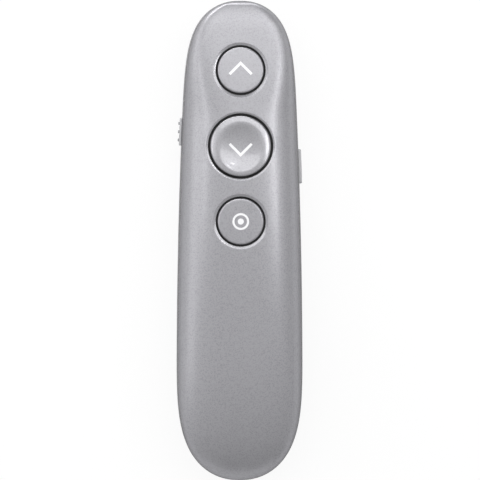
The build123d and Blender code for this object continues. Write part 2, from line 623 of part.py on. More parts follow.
# ---- Laser module and nose bezel ----
with BuildPart() as laser_barrel:
    rod(BARREL_REAR, BARREL_FRONT, BARREL_RADIUS)
    rod(BARREL_REAR, BARREL_FRONT - 0.8, BARREL_BORE, mode=Mode.SUBTRACT)
    rod(BARREL_REAR, BARREL_FRONT, 1.7, mode=Mode.SUBTRACT)
finish_piece(laser_barrel, "laser_barrel")

with BuildPart() as laser_lens:
    rod(BARREL_FRONT - 2.0, BARREL_FRONT - 0.8, BARREL_BORE)
    fillet(laser_lens.edges().sort_by(Axis.Y)[0], 0.5)
finish_piece(laser_lens, "laser_lens")

with BuildPart() as laser_diode:
    rod(BARREL_REAR, BARREL_REAR + 1.2, BARREL_BORE)
    rod(BARREL_REAR + 1.2, BARREL_REAR + 3.6, 1.8)
finish_piece(laser_diode, "laser_diode")

with BuildPart() as laser_board:
    block((-3.1, BARREL_REAR - 0.8, SEAM_Z - 3.1), (3.1, BARREL_REAR, SEAM_Z + 3.1))
finish_piece(laser_board, "laser_board")

with BuildPart() as laser_wires:
    for x in (-1.3, 1.3):
        back_y = BARREL_REAR - 0.8
        with BuildLine():
            FilletPolyline((x, back_y, 12.0), (x, back_y - 2.4, 12.0), (x, back_y - 2.4, BOARD_Z), radius=1.3)
        with BuildSketch(Plane((x, back_y, 12.0), x_dir=(1, 0, 0), z_dir=(0, -1, 0))):
            Circle(0.4)
        sweep()
finish_piece(laser_wires, "laser_wires")

with BuildPart() as nose_bezel:
    rod(BARREL_FRONT + 0.1, LENGTH, BEZEL_RADIUS)
    rod(BARREL_FRONT + 0.1, BARREL_FRONT + 0.9, BEZEL_RADIUS + 0.4)
    rod(BARREL_FRONT, LENGTH, BEZEL_BORE, mode=Mode.SUBTRACT)
    rod(HALF - 0.9, LENGTH, WINDOW_RADIUS, mode=Mode.SUBTRACT)
    add(OUTER, mode=Mode.INTERSECT)
finish_piece(nose_bezel, "nose_bezel")

with BuildPart() as laser_window:
    rod(HALF - 0.9, HALF - 0.1, WINDOW_RADIUS)
finish_piece(laser_window, "laser_window")

# ---- Battery: steel cell, printed sleeve, and the two contacts ----
CELL_TIP_Y = BAY_TAIL_Y + SHEET
CELL_BASE_Y = CELL_TIP_Y + CELL_LONG

with BuildPart() as battery_cell:
    rod(CELL_TIP_Y + 0.8, CELL_BASE_Y, CELL_RADIUS - 0.15, z=CELL_Z)
    fillet(battery_cell.edges(), 0.4)
    rod(CELL_TIP_Y, CELL_TIP_Y + 1.2, 1.9, z=CELL_Z)
finish_piece(battery_cell, "battery_cell")

with BuildPart() as battery_sleeve:
    rod(CELL_TIP_Y + 1.4, CELL_BASE_Y - 0.5, CELL_RADIUS, z=CELL_Z)
    rod(CELL_TIP_Y, CELL_BASE_Y, CELL_RADIUS - 0.15, z=CELL_Z, mode=Mode.SUBTRACT)
finish_piece(battery_sleeve, "battery_sleeve")

with BuildPart() as positive_contact:
    block((-CONTACT_HALF, BAY_TAIL_Y, 3.2), (CONTACT_HALF, BAY_TAIL_Y + SHEET, CONTACT_TOP))
    block((LEAD_START_X - STRIP_HALF + 0.2, BAY_TAIL_Y, 10),
          (LEAD_START_X + STRIP_HALF - 0.2, BAY_TAIL_Y + SHEET, BOARD_TOP))
finish_piece(positive_contact, "positive_contact")

with BuildPart() as negative_contact:
    with BuildLine() as coil:
        Helix(1.25, BAY_NOSE_Y - SHEET - CELL_BASE_Y - 0.3, 2.4, center=(0, BAY_NOSE_Y - SHEET, CELL_Z),
              direction=(0, -1, 0), cone_angle=-8)
    with BuildSketch(coil.line ^ 0):
        Circle(0.3)
    sweep(is_frenet=True)
    block((-CONTACT_HALF, BAY_NOSE_Y - SHEET, 3.8), (CONTACT_HALF, BAY_NOSE_Y, CONTACT_TOP))
    block((-STRIP_HALF, BAY_NOSE_Y - SHEET, 11), (STRIP_HALF, BAY_NOSE_Y, BOARD_Z))
finish_piece(negative_contact, "negative_contact")

with BuildPart() as battery_lead:
    start_y = BAY_TAIL_Y + SHEET
    with BuildLine():
        run = [(LEAD_START_X, start_y), (LEAD_START_X, -38), (LEAD_X, -31), (LEAD_X, -15),
               (5.2, -9.5), (5.2, BOARD_TAIL_Y)]
        FilletPolyline(*[(x, y, LEAD_Z) for x, y in run], radius=12)
    with BuildSketch(Plane((LEAD_START_X, start_y, LEAD_Z), x_dir=(1, 0, 0), z_dir=(0, 1, 0))):
        Circle(0.6)
    sweep()
finish_piece(battery_lead, "battery_lead")

# ---- Receiver: end cap in the tail's own form, plug shell, tongue, contacts and board ----
PLUG_END_Y = CAP_FRONT_Y + PLUG_LONG
PLUG_LOW = PLUG_Z - PLUG_HIGH / 2
PLUG_TOP = PLUG_Z + PLUG_HIGH / 2

with BuildPart() as receiver_cap:
    block((-CAP_HALF, -LENGTH, CAP_LOW_Z), (CAP_HALF, CAP_FRONT_Y, CAP_HIGH_Z))
    add(OUTER, mode=Mode.INTERSECT)
    block((-USB_BOARD_HALF - 0.1, CAP_FRONT_Y - USB_BOARD_IN - 0.1, USB_BOARD_Z - 0.05),
          (USB_BOARD_HALF + 0.1, CAP_FRONT_Y, USB_BOARD_Z + 0.95), mode=Mode.SUBTRACT)
finish_piece(receiver_cap, "receiver_cap")

with BuildPart() as plug_shell:
    block((-PLUG_WIDE / 2, CAP_FRONT_Y, PLUG_LOW), (PLUG_WIDE / 2, PLUG_END_Y, PLUG_TOP))
    fillet(plug_shell.edges().filter_by(Axis.Y), 0.5)
    block((-PLUG_WIDE / 2 + PLUG_SHEET, CAP_FRONT_Y, PLUG_LOW + PLUG_SHEET),
          (PLUG_WIDE / 2 - PLUG_SHEET, PLUG_END_Y, PLUG_TOP - PLUG_SHEET), mode=Mode.SUBTRACT)
    for x in (-2.6, 2.6):
        block((x - 1.1, PLUG_END_Y - 6.0, 0), (x + 1.1, PLUG_END_Y - 3.8, SEAM_Z), mode=Mode.SUBTRACT)
finish_piece(plug_shell, "plug_shell")

with BuildPart() as receiver_board:
    block((-USB_BOARD_HALF, CAP_FRONT_Y - USB_BOARD_IN, USB_BOARD_Z),
          (USB_BOARD_HALF, PLUG_END_Y - 3.4, USB_BOARD_Z + 0.8))
finish_piece(receiver_board, "receiver_board")

with BuildPart() as plug_tongue:
    block((-USB_BOARD_HALF - 0.1, CAP_FRONT_Y, TONGUE_Z),
          (USB_BOARD_HALF + 0.1, PLUG_END_Y - 0.6, PLUG_TOP - PLUG_SHEET))
finish_piece(plug_tongue, "plug_tongue")

with BuildPart() as plug_contacts:
    for x in (-3.5, -1.0, 1.0, 3.5):
        block((x - 0.5, PLUG_END_Y - 3.2, TONGUE_Z - 0.15), (x + 0.5, PLUG_END_Y - 0.8, TONGUE_Z))
finish_piece(plug_contacts, "plug_contacts")

# ---- Screws ----
with BuildPart() as housing_screws:
    for x, y in HOUSING_SCREWS:
        pin(x, y, SEAT_Z - HEAD_HIGH, SEAT_Z, HEAD_RADIUS)
        pin(x, y, SEAT_Z, SEAM_Z + HOUSING_BITE, SCREW_RADIUS)
        block((x - 1.3, y - 0.3, 0), (x + 1.3, y + 0.3, SEAT_Z - 0.6), mode=Mode.SUBTRACT)
        block((x - 0.3, y - 1.3, 0), (x + 0.3, y + 1.3, SEAT_Z - 0.6), mode=Mode.SUBTRACT)
finish_piece(housing_screws, "housing_screws")

with BuildPart() as board_screws:
    for x, y in BOARD_SCREWS:
        pin(x, y, BOARD_Z - SMALL_HEAD_HIGH, BOARD_Z, SMALL_HEAD_RADIUS)
        pin(x, y, BOARD_Z, BOARD_TOP + BOARD_BITE, SMALL_SCREW_RADIUS)
        block((x - 1.0, y - 0.25, 0), (x + 1.0, y + 0.25, BOARD_Z - 0.6), mode=Mode.SUBTRACT)
        block((x - 0.25, y - 1.0, 0), (x + 0.25, y + 1.0, BOARD_Z - 0.6), mode=Mode.SUBTRACT)
finish_piece(board_screws, "board_screws")
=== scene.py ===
"""Looks of a wireless presentation clicker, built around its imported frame.

Shapes are worked out in millimetres: X is across the body, +Y runs to the laser end, +Z is up,
and the flat underside rests on z = 0. A mesh gets its points in metres.
"""
import json
import math

import bmesh
import bpy
import numpy as np
from bpy.props import FloatProperty, FloatVectorProperty, PointerProperty
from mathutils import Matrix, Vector

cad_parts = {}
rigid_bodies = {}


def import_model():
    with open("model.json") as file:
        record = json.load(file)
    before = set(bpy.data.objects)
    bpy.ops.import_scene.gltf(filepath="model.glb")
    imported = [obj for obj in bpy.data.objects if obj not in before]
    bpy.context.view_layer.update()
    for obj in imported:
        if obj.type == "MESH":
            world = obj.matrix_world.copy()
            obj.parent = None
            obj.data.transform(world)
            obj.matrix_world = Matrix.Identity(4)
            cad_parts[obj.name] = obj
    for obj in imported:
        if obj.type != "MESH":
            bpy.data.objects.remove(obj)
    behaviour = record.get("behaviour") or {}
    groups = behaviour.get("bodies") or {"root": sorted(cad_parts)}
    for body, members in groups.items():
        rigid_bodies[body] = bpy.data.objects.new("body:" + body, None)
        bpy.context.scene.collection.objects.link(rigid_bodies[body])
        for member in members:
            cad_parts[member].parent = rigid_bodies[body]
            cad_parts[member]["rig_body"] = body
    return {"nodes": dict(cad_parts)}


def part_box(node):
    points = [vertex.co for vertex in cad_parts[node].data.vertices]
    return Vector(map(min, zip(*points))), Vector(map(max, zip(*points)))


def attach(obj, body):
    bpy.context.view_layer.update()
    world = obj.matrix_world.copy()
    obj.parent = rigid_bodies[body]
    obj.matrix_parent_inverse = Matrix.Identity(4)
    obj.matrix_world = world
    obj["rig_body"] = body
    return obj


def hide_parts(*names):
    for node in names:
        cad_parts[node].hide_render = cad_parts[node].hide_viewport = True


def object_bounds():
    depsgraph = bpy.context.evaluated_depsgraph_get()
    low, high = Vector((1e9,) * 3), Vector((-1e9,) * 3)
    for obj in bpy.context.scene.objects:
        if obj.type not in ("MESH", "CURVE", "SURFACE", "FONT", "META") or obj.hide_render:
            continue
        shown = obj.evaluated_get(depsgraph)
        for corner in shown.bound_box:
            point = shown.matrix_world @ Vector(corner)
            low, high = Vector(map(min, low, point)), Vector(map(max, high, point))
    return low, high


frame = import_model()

CAD_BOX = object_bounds()

bl_info = {
    "name": "Presentation Clicker",
    "version": (1, 0, 0),
    "blender": (4, 5, 0),
    "location": "3D View > Sidebar > Clicker",
    "description": "Builds the casing, keys and finishes of a wireless presentation clicker",
    "category": "Add Mesh",
}

MM = 0.001

# ---- The body's form ----
# A curve holds a parabola's three terms in y / HALF, a swell its reach, fullness and roundness.
TIP_SHORT = 0.03             # the solid stops this far short of each tip
HALF = (CAD_BOX[1].y - CAD_BOX[0].y) / MM / 2 + TIP_SHORT
WIDEST_HALF = 17.05
WIDTH_CURVE = (16.66, -1.45, -1.27)
NOSE_WIDTH_SWELL = (42, 5.9, 2.14)
TAIL_WIDTH_SWELL = (37, 3.9, 2.14)
SEAM_Z = 10.5
SEAM_GAP = 0.12
CROWN = 12.6
RISE_CURVE = (CROWN, 1.0, -3.6)
NOSE_RISE_SWELL = (1.8, 4.0, 5.0)        # a short reach makes the crisp edge around the nose's tip
TAIL_RISE_SWELL = (38, 3.2, 2.1)
TOP_POWER = 2.7              # squareness of the cross-section above the seam
NOSE_POWER = 7.0             # and at the nose, where the top meets the side in a crisper edge
CRISP_START = 32.0
CRISP_END = 65.0
NOSE_ZONE = 8.0              # the stretch over which the nose droops
NOSE_DROOP = 0.12
DROOP_POWER = 2.5
WALL = 1.1
BEZEL_BORE = 3.65            # hole in the nose for the laser's bezel


def middle(node):
    """Middle of a node's box, in millimetres."""
    low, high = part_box(node)
    return (low + high) / 2 / MM


# ---- Keys ----
KEY_NAMES = ("previous", "next", "laser")
KEY_Y = {name: middle(f"{name}_key").y for name in KEY_NAMES}
CAP_RADIUS = {"previous": 6.22, "next": 8.22, "laser": 6.22}
HOLE_RADIUS = {"previous": 6.75, "next": 8.85, "laser": 6.75}
LIP = {"previous": 0.75, "next": 0.5, "laser": 0.75}
LIP_TILT = 21.0              # slope of the lips' chamfer in degrees
LIP_ROUND = 0.12             # radius at both ends of that chamfer
COLLAR_Z = {"previous": 18.9, "next": 18.9, "laser": 20.0}
CAP_PROUD = 0.3
CAP_EDGE = 0.45
CAP_WALL = 1.1
CAP_ROOF = 1.3
KEY_PLAY = 0.05              # between a key's stop flange and the collar over it
FLANGE = 0.85
FLANGE_REACH = 0.95
DISH_RADIUS = 6.5
DISH_DEPTH = 1.05
DISH_POWER = 2.4             # how much steeper the hollow gets towards its edge
RIM_CREST = 6.7              # the middle key's rim slopes outward from this radius
RIM_TILT = 8.0               # by this many degrees
INK = 0.02                   # thickness of the printed marks
CHEVRON_HALF = 3.0
CHEVRON_SHIFT = {"previous": 0.4, "next": -0.9}     # of the mark's middle, from the key's middle
STROKE = 0.72
RING_OUT = 2.27
RING_IN = 1.69
DOT = 0.83

# ---- Side controls: a face or gap is a distance out from the casing's side at the seam ----
KNOB_Y = middle("power_knob").y
KNOB_LONG = 7.5
KNOB_HIGH = 3.6
KNOB_FACE = 0.6
KNOB_GAP = 0.06
KNOB_CORNER = 0.25
KNOB_TRAVEL = 2.0
RIB_PITCH = 2.24
RIB_THICK = 0.8
RIB_HIGH = 0.33
RIB_HALF = 1.4
RIB_CORNER = 0.15
OVERLAP = 0.1                # by which a rib or a stem runs into the piece it stands on
STEM_HALF = 1.5
STEM_HALF_HIGH = 1.0
STEM_PLAY = 0.15             # between the stem and each end of its slot
STEM_DEEP = 0.4              # by which the stem runs into the plate behind the casing
PLATE_X = 13.4               # outer face of that plate
PLATE_THICK = 0.8
PLATE_HALF = 3.5
PLATE_DOWN = 1.6             # reach of the plate below and above the seam
PLATE_UP = 3.1
POWER_LEVER_Z = 12.65
POWER_FORK = 0.8             # half the window in the plate that holds the switch's lever
SIDE_KEY_Y = middle("side_key").y
SIDE_KEY_LONG = 9.3
SIDE_KEY_HIGH = 3.2
SIDE_KEY_FACE = 0.7
SIDE_KEY_BACK = -2.4
SIDE_KEY_CORNER = 0.35
SIDE_KEY_CROWN = 0.06
SIDE_FLANGE_X = 13.9         # outer face of the stop flange
SIDE_FLANGE_THICK = 1.0
SIDE_FLANGE_REACH = 1.0      # past each end of the pad
SIDE_FLANGE_DOWN = 2.4
SIDE_FLANGE_UP = 2.8
SIDE_NUB_X = 12.5            # tip of the nub that meets the switch
SIDE_NUB_HALF = 0.8
SIDE_SWITCH_Z = 12.2
SLOT = (KNOB_Y - STEM_HALF - STEM_PLAY, KNOB_Y + KNOB_TRAVEL + STEM_HALF + STEM_PLAY)
SLOT_HALF_HIGH = 1.1
WINDOW_HALF = 4.85
WINDOW = (SIDE_KEY_Y - WINDOW_HALF, SIDE_KEY_Y + WINDOW_HALF)
WINDOW_HALF_HIGH = 1.8


# ---- Settings that a user would change ----

class ClickerFinish(bpy.types.PropertyGroup):
    """Colours and sheen of the painted and printed pieces."""

    paint: FloatVectorProperty(
        name="Paint", description="Colour of the metallic paint",
        subtype="COLOR", size=3, min=0, max=1, default=(0.36, 0.357, 0.378))
    flake: FloatProperty(
        name="Flake", description="How much the metal flakes differ in brightness",
        subtype="FACTOR", min=0, max=1, default=0.38)
    flake_size: FloatProperty(
        name="Flake size", description="Width of one patch of flakes",
        subtype="DISTANCE", unit="LENGTH", min=0.00005, max=0.002, default=0.00022)
    edge_tint: FloatProperty(
        name="Edge tint", description="Share of the metal's reflection that is left at a glancing angle",
        subtype="FACTOR", min=0, max=1, default=0.0)
    coat: FloatProperty(
        name="Coat", description="Weight of the clear coat over the casing's paint",
        subtype="FACTOR", min=0, max=1, default=0.35)
    roughness: FloatProperty(
        name="Roughness", description="Roughness of the metallic paint under its clear coat",
        subtype="FACTOR", min=0, max=1, default=0.38)
    ink: FloatVectorProperty(
        name="Ink", description="Colour of the printed marks",
        subtype="COLOR", size=3, min=0, max=1, default=(0.8, 0.8, 0.815))


class ClickerBody(bpy.types.PropertyGroup):
    """Sizes of the casing's and keys' surfaces."""

    mesh_step: FloatProperty(
        name="Mesh step", description="Length of a face along the body",
        subtype="DISTANCE", unit="LENGTH", min=0.0003, max=0.003, default=0.00075)
    edge_break: FloatProperty(
        name="Edge break", description="Radius on the casing's edge along the seam",
        subtype="DISTANCE", unit="LENGTH", min=0, max=0.0004, default=0.00014)
    dish_edge: FloatProperty(
        name="Dish edge", description="How softly the middle key's hollow meets its rim",
        subtype="DISTANCE", unit="LENGTH", min=0, max=0.001, default=0.00022)


def room_glow(where, default):
    """A setting for how brightly one part of the room glows."""
    return FloatProperty(name=f"Room {where}", description=f"Brightness of the room {where}",
                         min=0, max=3, default=default)


def lamp_power(name, what, default):
    """A setting for one lamp's power."""
    return FloatProperty(name=name, description=f"Power of the {what}",
                         subtype="POWER", min=0, max=500, default=default)


class ClickerStage(bpy.types.PropertyGroup):
    """The camera, the floor, the room and the lamps."""

    lens: FloatProperty(
        name="Lens", description="Focal length in millimetres, long so that the body shows no taper",
        min=50, max=2000, default=1000)
    view_width: FloatProperty(
        name="View width", description="Width of the picture at the height of the seam",
        subtype="DISTANCE", unit="LENGTH", min=0.05, max=1, default=0.1302)
    floor: FloatVectorProperty(
        name="Floor", description="Colour of the floor as the lamps light it",
        subtype="COLOR", size=3, min=0, max=1, default=(0.3, 0.3, 0.305))
    left_room: room_glow("on the left", 0.973)
    right_room: room_glow("on the right", 0.727)
    sky_room: room_glow("overhead", 0.66)
    front_power: lamp_power("Front lamp", "softbox past the nose", 8.5)
    left_power: lamp_power("Left lamp", "softbox on the left", 1.565)
    right_power: lamp_power("Right lamp", "softbox on the right", 0.418)
    top_power: lamp_power("Top lamp", "softbox above", 0.493)
    back_power: lamp_power("Back lamp", "low softbox past the tail", 0.617)
    strip_power: lamp_power("Strip lamp", "narrow lamp on the right, which the keys' rims catch", 0.018)
    rim_power: lamp_power("Rim lamp", "narrow lamp on the left, which the lips of the holes catch", 0.01)
    pin_power: lamp_power("Pin lamp", "tiny lamp that glints on the middle key's hollow", 0.055)


# ---- Form of the body, as functions of whole arrays ----

def swell(distance, reach, fullness, roundness):
    """Rise from 0 at the tip to 1 at reach: one less a power of what is left, to a root."""
    left = 1 - np.clip(distance / reach, 0, 1)
    return (1 - left**fullness) ** (1 / roundness)


def parabola(curve, y):
    """A curve's value at y: its first term, its second times y / HALF, its third times the square."""
    level, slope, bend = curve
    u = y / HALF
    return level + slope * u + bend * u * u


def half_width(y):
    """Half the body's width at the seam: a parabola along Y, swelling from each tip."""
    plain = parabola(WIDTH_CURVE, y)
    return plain * swell(HALF - y, *NOSE_WIDTH_SWELL) * swell(HALF + y, *TAIL_WIDTH_SWELL)


def top_rise(y):
    """Height of the top over the seam on the centre line: a parabola that droops towards the nose
    and then drops over a crisp edge there, and swells from the tail's tip."""
    plain = parabola(RISE_CURVE, y)
    droop = 1 - NOSE_DROOP * np.clip(1 - (HALF - y) / NOSE_ZONE, 0, 1) ** DROOP_POWER
    return plain * droop * swell(HALF - y, *NOSE_RISE_SWELL) * swell(HALF + y, *TAIL_RISE_SWELL)


def top_power(y):
    """Squareness of the top's cross-section: it goes up in an S curve towards the nose."""
    share = np.clip((y - CRISP_START) / (CRISP_END - CRISP_START), 0, 1)
    return TOP_POWER + (NOSE_POWER - TOP_POWER) * share**2 * (3 - 2 * share)


def squared(share, y):
    """The other coordinate of a unit squared ellipse: (1 - share^p)^(1/p), with the power at y."""
    power = top_power(y)
    return (1 - np.clip(np.abs(share), 0, 1) ** power) ** (1 / power)


def squared_turn(turn, y):
    """The point of the unit squared ellipse at y that lies at an angle from its flat axis: the
    angle's cosine and sine over the p-th root of the sum of their p-th powers."""
    power = top_power(y)
    reach = (np.cos(turn) ** power + np.sin(turn) ** power) ** (-1 / power)
    return np.cos(turn) * reach, np.sin(turn) * reach


def top_z(x, y, proud=0.0):
    """Height of the top over (x, y): the seam plus the rise times the squared ellipse of x / width.

    With proud, the form is scaled up about the seam's middle by that much a side."""
    along = y / (1 + proud / HALF)
    wide = half_width(along) * (1 + proud / WIDEST_HALF)
    rise = top_rise(along) * (1 + proud / CROWN)
    return SEAM_Z + rise * squared(x / wide, along)


# ---- Meshes ----

SHARP_ANGLE = 35.0           # degrees
JOIN = 0.0015                # millimetres


class Surface:
    """Grids of points and the faces between them, gathered into one mesh."""

    def __init__(self):
        self.points = []
        self.faces = []
        self.places = []
        self.count = 0

    def grid(self, x, y, z, keep=None, round_trip=False, flip=False, place=0):
        """Add a grid of points in millimetres. Rows run along the first axis of the arrays.

        keep says which cells get a face, round_trip joins the last column to the first, and place
        is the material slot of the faces."""
        x, y, z = np.broadcast_arrays(x, y, z)
        rows, columns = x.shape
        index = self.count + np.arange(rows * columns).reshape(rows, columns)
        if round_trip:
            index = np.concatenate([index, index[:, :1]], axis=1)
        quads = np.stack([index[:-1, :-1], index[1:, :-1], index[1:, 1:], index[:-1, 1:]], axis=-1)
        if flip:
            quads = quads[..., ::-1]
        quads = quads[keep] if keep is not None else quads.reshape(-1, 4)
        self.points.append(np.stack([x, y, z], axis=-1).reshape(-1, 3) * MM)
        self.faces.append(quads.reshape(-1, 4))
        self.places.append(np.full(len(self.faces[-1]), place))
        self.count += rows * columns

    def build(self, name, *finishes, join=JOIN):
        """Make the object: points closer than join millimetres become one, and faces shade smoothly
        except over edges sharper than SHARP_ANGLE."""
        mesh = bpy.data.meshes.new(name)
        mesh.from_pydata(np.concatenate(self.points), [], np.concatenate(self.faces))
        mesh.polygons.foreach_set("material_index", np.concatenate(self.places))
        work = bmesh.new()
        work.from_mesh(mesh)
        bmesh.ops.remove_doubles(work, verts=work.verts, dist=join * MM)
        bmesh.ops.dissolve_degenerate(work, edges=work.edges, dist=join * MM / 10)
        work.to_mesh(mesh)
        work.free()
        mesh.shade_smooth()
        mesh.set_sharp_from_angle(angle=math.radians(SHARP_ANGLE))
        for finish in finishes:
            mesh.materials.append(finish)
        piece = bpy.data.objects.new(name, mesh)
        bpy.context.scene.collection.objects.link(piece)
        return piece


def replace_node(piece, node):
    """Let a piece stand for the CAD node of like shape, on that node's body."""
    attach(piece, frame["nodes"][node]["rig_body"])
    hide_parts(node)


def steps_between(stops, step):
    """Places along a line: every stop, and equal steps no longer than step between two stops."""
    runs = [np.linspace(a, b, max(math.ceil((b - a) / step), 1) + 1)[:-1] for a, b in zip(stops, stops[1:])]
    return np.concatenate(runs + [np.array(stops[-1:])])


# ---- Shader maths ----

class Value:
    """A number that varies over a surface. Arithmetic on it adds Math nodes."""

    def __init__(self, finish, socket):
        self.finish = finish
        self.socket = socket

    def maths(self, operation, *operands):
        """Add a Math node on these operands."""
        values = {place: operand for place, operand in enumerate(operands)}
        return self.finish.value("ShaderNodeMath", "Value", values, operation=operation)

    def __add__(self, other):
        return self.maths("ADD", self, other)

    def __radd__(self, other):
        return self.maths("ADD", other, self)

    def __sub__(self, other):
        return self.maths("SUBTRACT", self, other)

    def __rsub__(self, other):
        return self.maths("SUBTRACT", other, self)

    def __mul__(self, other):
        return self.maths("MULTIPLY", self, other)

    def __pow__(self, other):
        return self.maths("POWER", self, other)

    def at_least(self, other):
        """The larger of the two."""
        return self.maths("MAXIMUM", self, other)


class Finish:
    """One procedural material, or the world, and its node tree."""

    def __init__(self, name, library=bpy.data.materials):
        self.material = library.new(name)
        self.material.use_nodes = True
        self.tree = self.material.node_tree
        self.tree.nodes.clear()
        self.coordinates = self.node("ShaderNodeTexCoord").outputs

    def node(self, kind, values=None, **settings):
        """Add a node: its settings first, then the values or links of its sockets."""
        made = self.tree.nodes.new(kind)
        for name, setting in settings.items():
            setattr(made, name, setting)
        for name, value in (values or {}).items():
            if isinstance(value, Value):
                value = value.socket
            if isinstance(value, bpy.types.NodeSocket):
                self.tree.links.new(value, made.inputs[name])
            else:
                made.inputs[name].default_value = value
        return made

    def value(self, kind, output, values, **settings):
        """Add a node and wrap one of its outputs for arithmetic."""
        return Value(self, self.node(kind, values, **settings).outputs[output])

    def noise(self, size, detail=2.0, stretch=None):
        """Smooth noise from 0 to 1 with features about size millimetres wide."""
        where = self.coordinates["Object"]
        if stretch:
            where = self.node("ShaderNodeMapping", {"Vector": where, "Scale": stretch}).outputs["Vector"]
        return self.value("ShaderNodeTexNoise", "Fac", {
            "Vector": where, "Scale": 1 / (size * MM), "Detail": detail, "Roughness": 0.5})

    def cells(self, size):
        """A random number from 0 to 1 for each cell about size millimetres wide."""
        made = self.node("ShaderNodeTexVoronoi", {
            "Vector": self.coordinates["Object"], "Scale": 1 / (size * MM), "Randomness": 1.0})
        return self.value("ShaderNodeSeparateColor", "Red", {"Color": made.outputs["Color"]})

    def mix(self, factor, one, other):
        """A colour between two colours or colour sockets."""
        colours = {"Factor": factor, 6: self.solid(one), 7: self.solid(other)}
        return self.node("ShaderNodeMix", colours, data_type="RGBA").outputs[2]

    def solid(self, colour):
        """A colour with the alpha that a socket wants. Anything else passes as it is."""
        return (*colour, 1) if isinstance(colour, tuple) and len(colour) == 3 else colour

    def bump(self, height, distance):
        """A normal bent by a height of up to distance millimetres."""
        return self.node("ShaderNodeBump", {
            "Height": height, "Distance": distance * MM, "Strength": 1.0}).outputs["Normal"]

    def shade(self, **sockets):
        """Feed the surface shader. Socket names are written with _ for a space."""
        values = {name.replace("_", " "): self.solid(value) for name, value in sockets.items()}
        shader = self.node("ShaderNodeBsdfPrincipled", values)
        self.node("ShaderNodeOutputMaterial", {"Surface": shader.outputs["BSDF"]})
        return self.material


def tint(colour, factor):
    """A colour scaled by a factor."""
    return tuple(channel * factor for channel in colour)


# ---- Finishes ----

def metallic_paint(name, colour, settings, coat=None, roughness=None, coat_roughness=0.22):
    """Silver paint: fine flakes that differ in brightness and tilt, under a thin clear coat."""
    finish = Finish(name)
    flakes = finish.cells(settings.flake_size / MM)
    drift = finish.noise(14.0)
    shade = 1 - settings.flake * 0.5 + flakes * settings.flake + (drift - 0.5) * 0.06
    colour_here = finish.mix(shade, (0.0, 0.0, 0.0), colour)
    tilt = finish.noise(settings.flake_size / MM * 1.3, detail=1.0)
    base = settings.roughness if roughness is None else roughness
    edge = (settings.edge_tint,) * 3
    return finish.shade(
        Base_Color=colour_here, Metallic=0.75, Roughness=base + (drift - 0.5) * 0.05, Specular_Tint=edge,
        Normal=finish.bump(tilt, 0.004), Coat_Weight=settings.coat if coat is None else coat,
        Coat_Roughness=coat_roughness, Coat_IOR=1.5)


def moulded_plastic(name, colour, roughness):
    """Moulded plastic: one colour with faint drift, and a fine spark-eroded grain."""
    finish = Finish(name)
    drift = finish.noise(6.0)
    grain = finish.noise(0.05, detail=3.0)
    colour_here = finish.mix(drift, tint(colour, 0.94), tint(colour, 1.05))
    return finish.shade(
        Base_Color=colour_here, Roughness=roughness + (grain - 0.5) * 0.12,
        Normal=finish.bump(grain, 0.004))


def printed_ink(name, colour):
    """Pad-printed ink: flat and slightly uneven."""
    finish = Finish(name)
    uneven = finish.noise(0.12, detail=3.0)
    colour_here = finish.mix(uneven, tint(colour, 0.97), colour)
    return finish.shade(
        Base_Color=colour_here, Roughness=0.42 + uneven * 0.1, Normal=finish.bump(uneven, 0.002))


def sheet_metal(name, colour, roughness=0.28, brushed=(1.0, 1.0, 1.0)):
    """Bare or plated metal with faint rolling lines and stains."""
    finish = Finish(name)
    lines = finish.noise(0.12, detail=3.0, stretch=brushed)
    stain = finish.noise(2.5)
    colour_here = finish.mix(stain, tint(colour, 0.9), colour)
    sheen = roughness + (lines - 0.5) * 0.12 + (stain - 0.5) * 0.06
    return finish.shade(
        Base_Color=colour_here, Metallic=1.0, Roughness=sheen, Normal=finish.bump(lines, 0.002))


def circuit_board(name):
    """Green solder mask over copper: tracks run as long narrow bands."""
    finish = Finish(name)
    tracks = finish.noise(1.1, detail=0.0, stretch=(1.0, 0.12, 1.0))
    across = finish.noise(1.3, detail=0.0, stretch=(0.15, 1.0, 1.0))
    copper = (tracks * across) ** 2.0 * 3.0
    mask_here = finish.mix(copper, (0.012, 0.09, 0.035), (0.035, 0.2, 0.07))
    return finish.shade(Base_Color=mask_here, Roughness=0.32 + (tracks - 0.5) * 0.1,
                        Normal=finish.bump(copper, 0.02), Coat_Weight=0.3, Coat_Roughness=0.2)


def clear_plastic(name, colour):
    """Clear or smoked plastic, with a faint haze."""
    finish = Finish(name)
    haze = finish.noise(0.8)
    return finish.shade(Base_Color=finish.mix(haze, tint(colour, 0.97), colour),
                        Roughness=0.04 + haze * 0.02, Transmission_Weight=0.9, IOR=1.49)


def wire_coat(name, colour):
    """Soft wire insulation, slightly dusty."""
    finish = Finish(name)
    dust = finish.noise(0.6, detail=3.0)
    return finish.shade(Base_Color=finish.mix(dust, tint(colour, 0.85), colour),
                        Roughness=0.42 + (dust - 0.5) * 0.15, Normal=finish.bump(dust, 0.006))


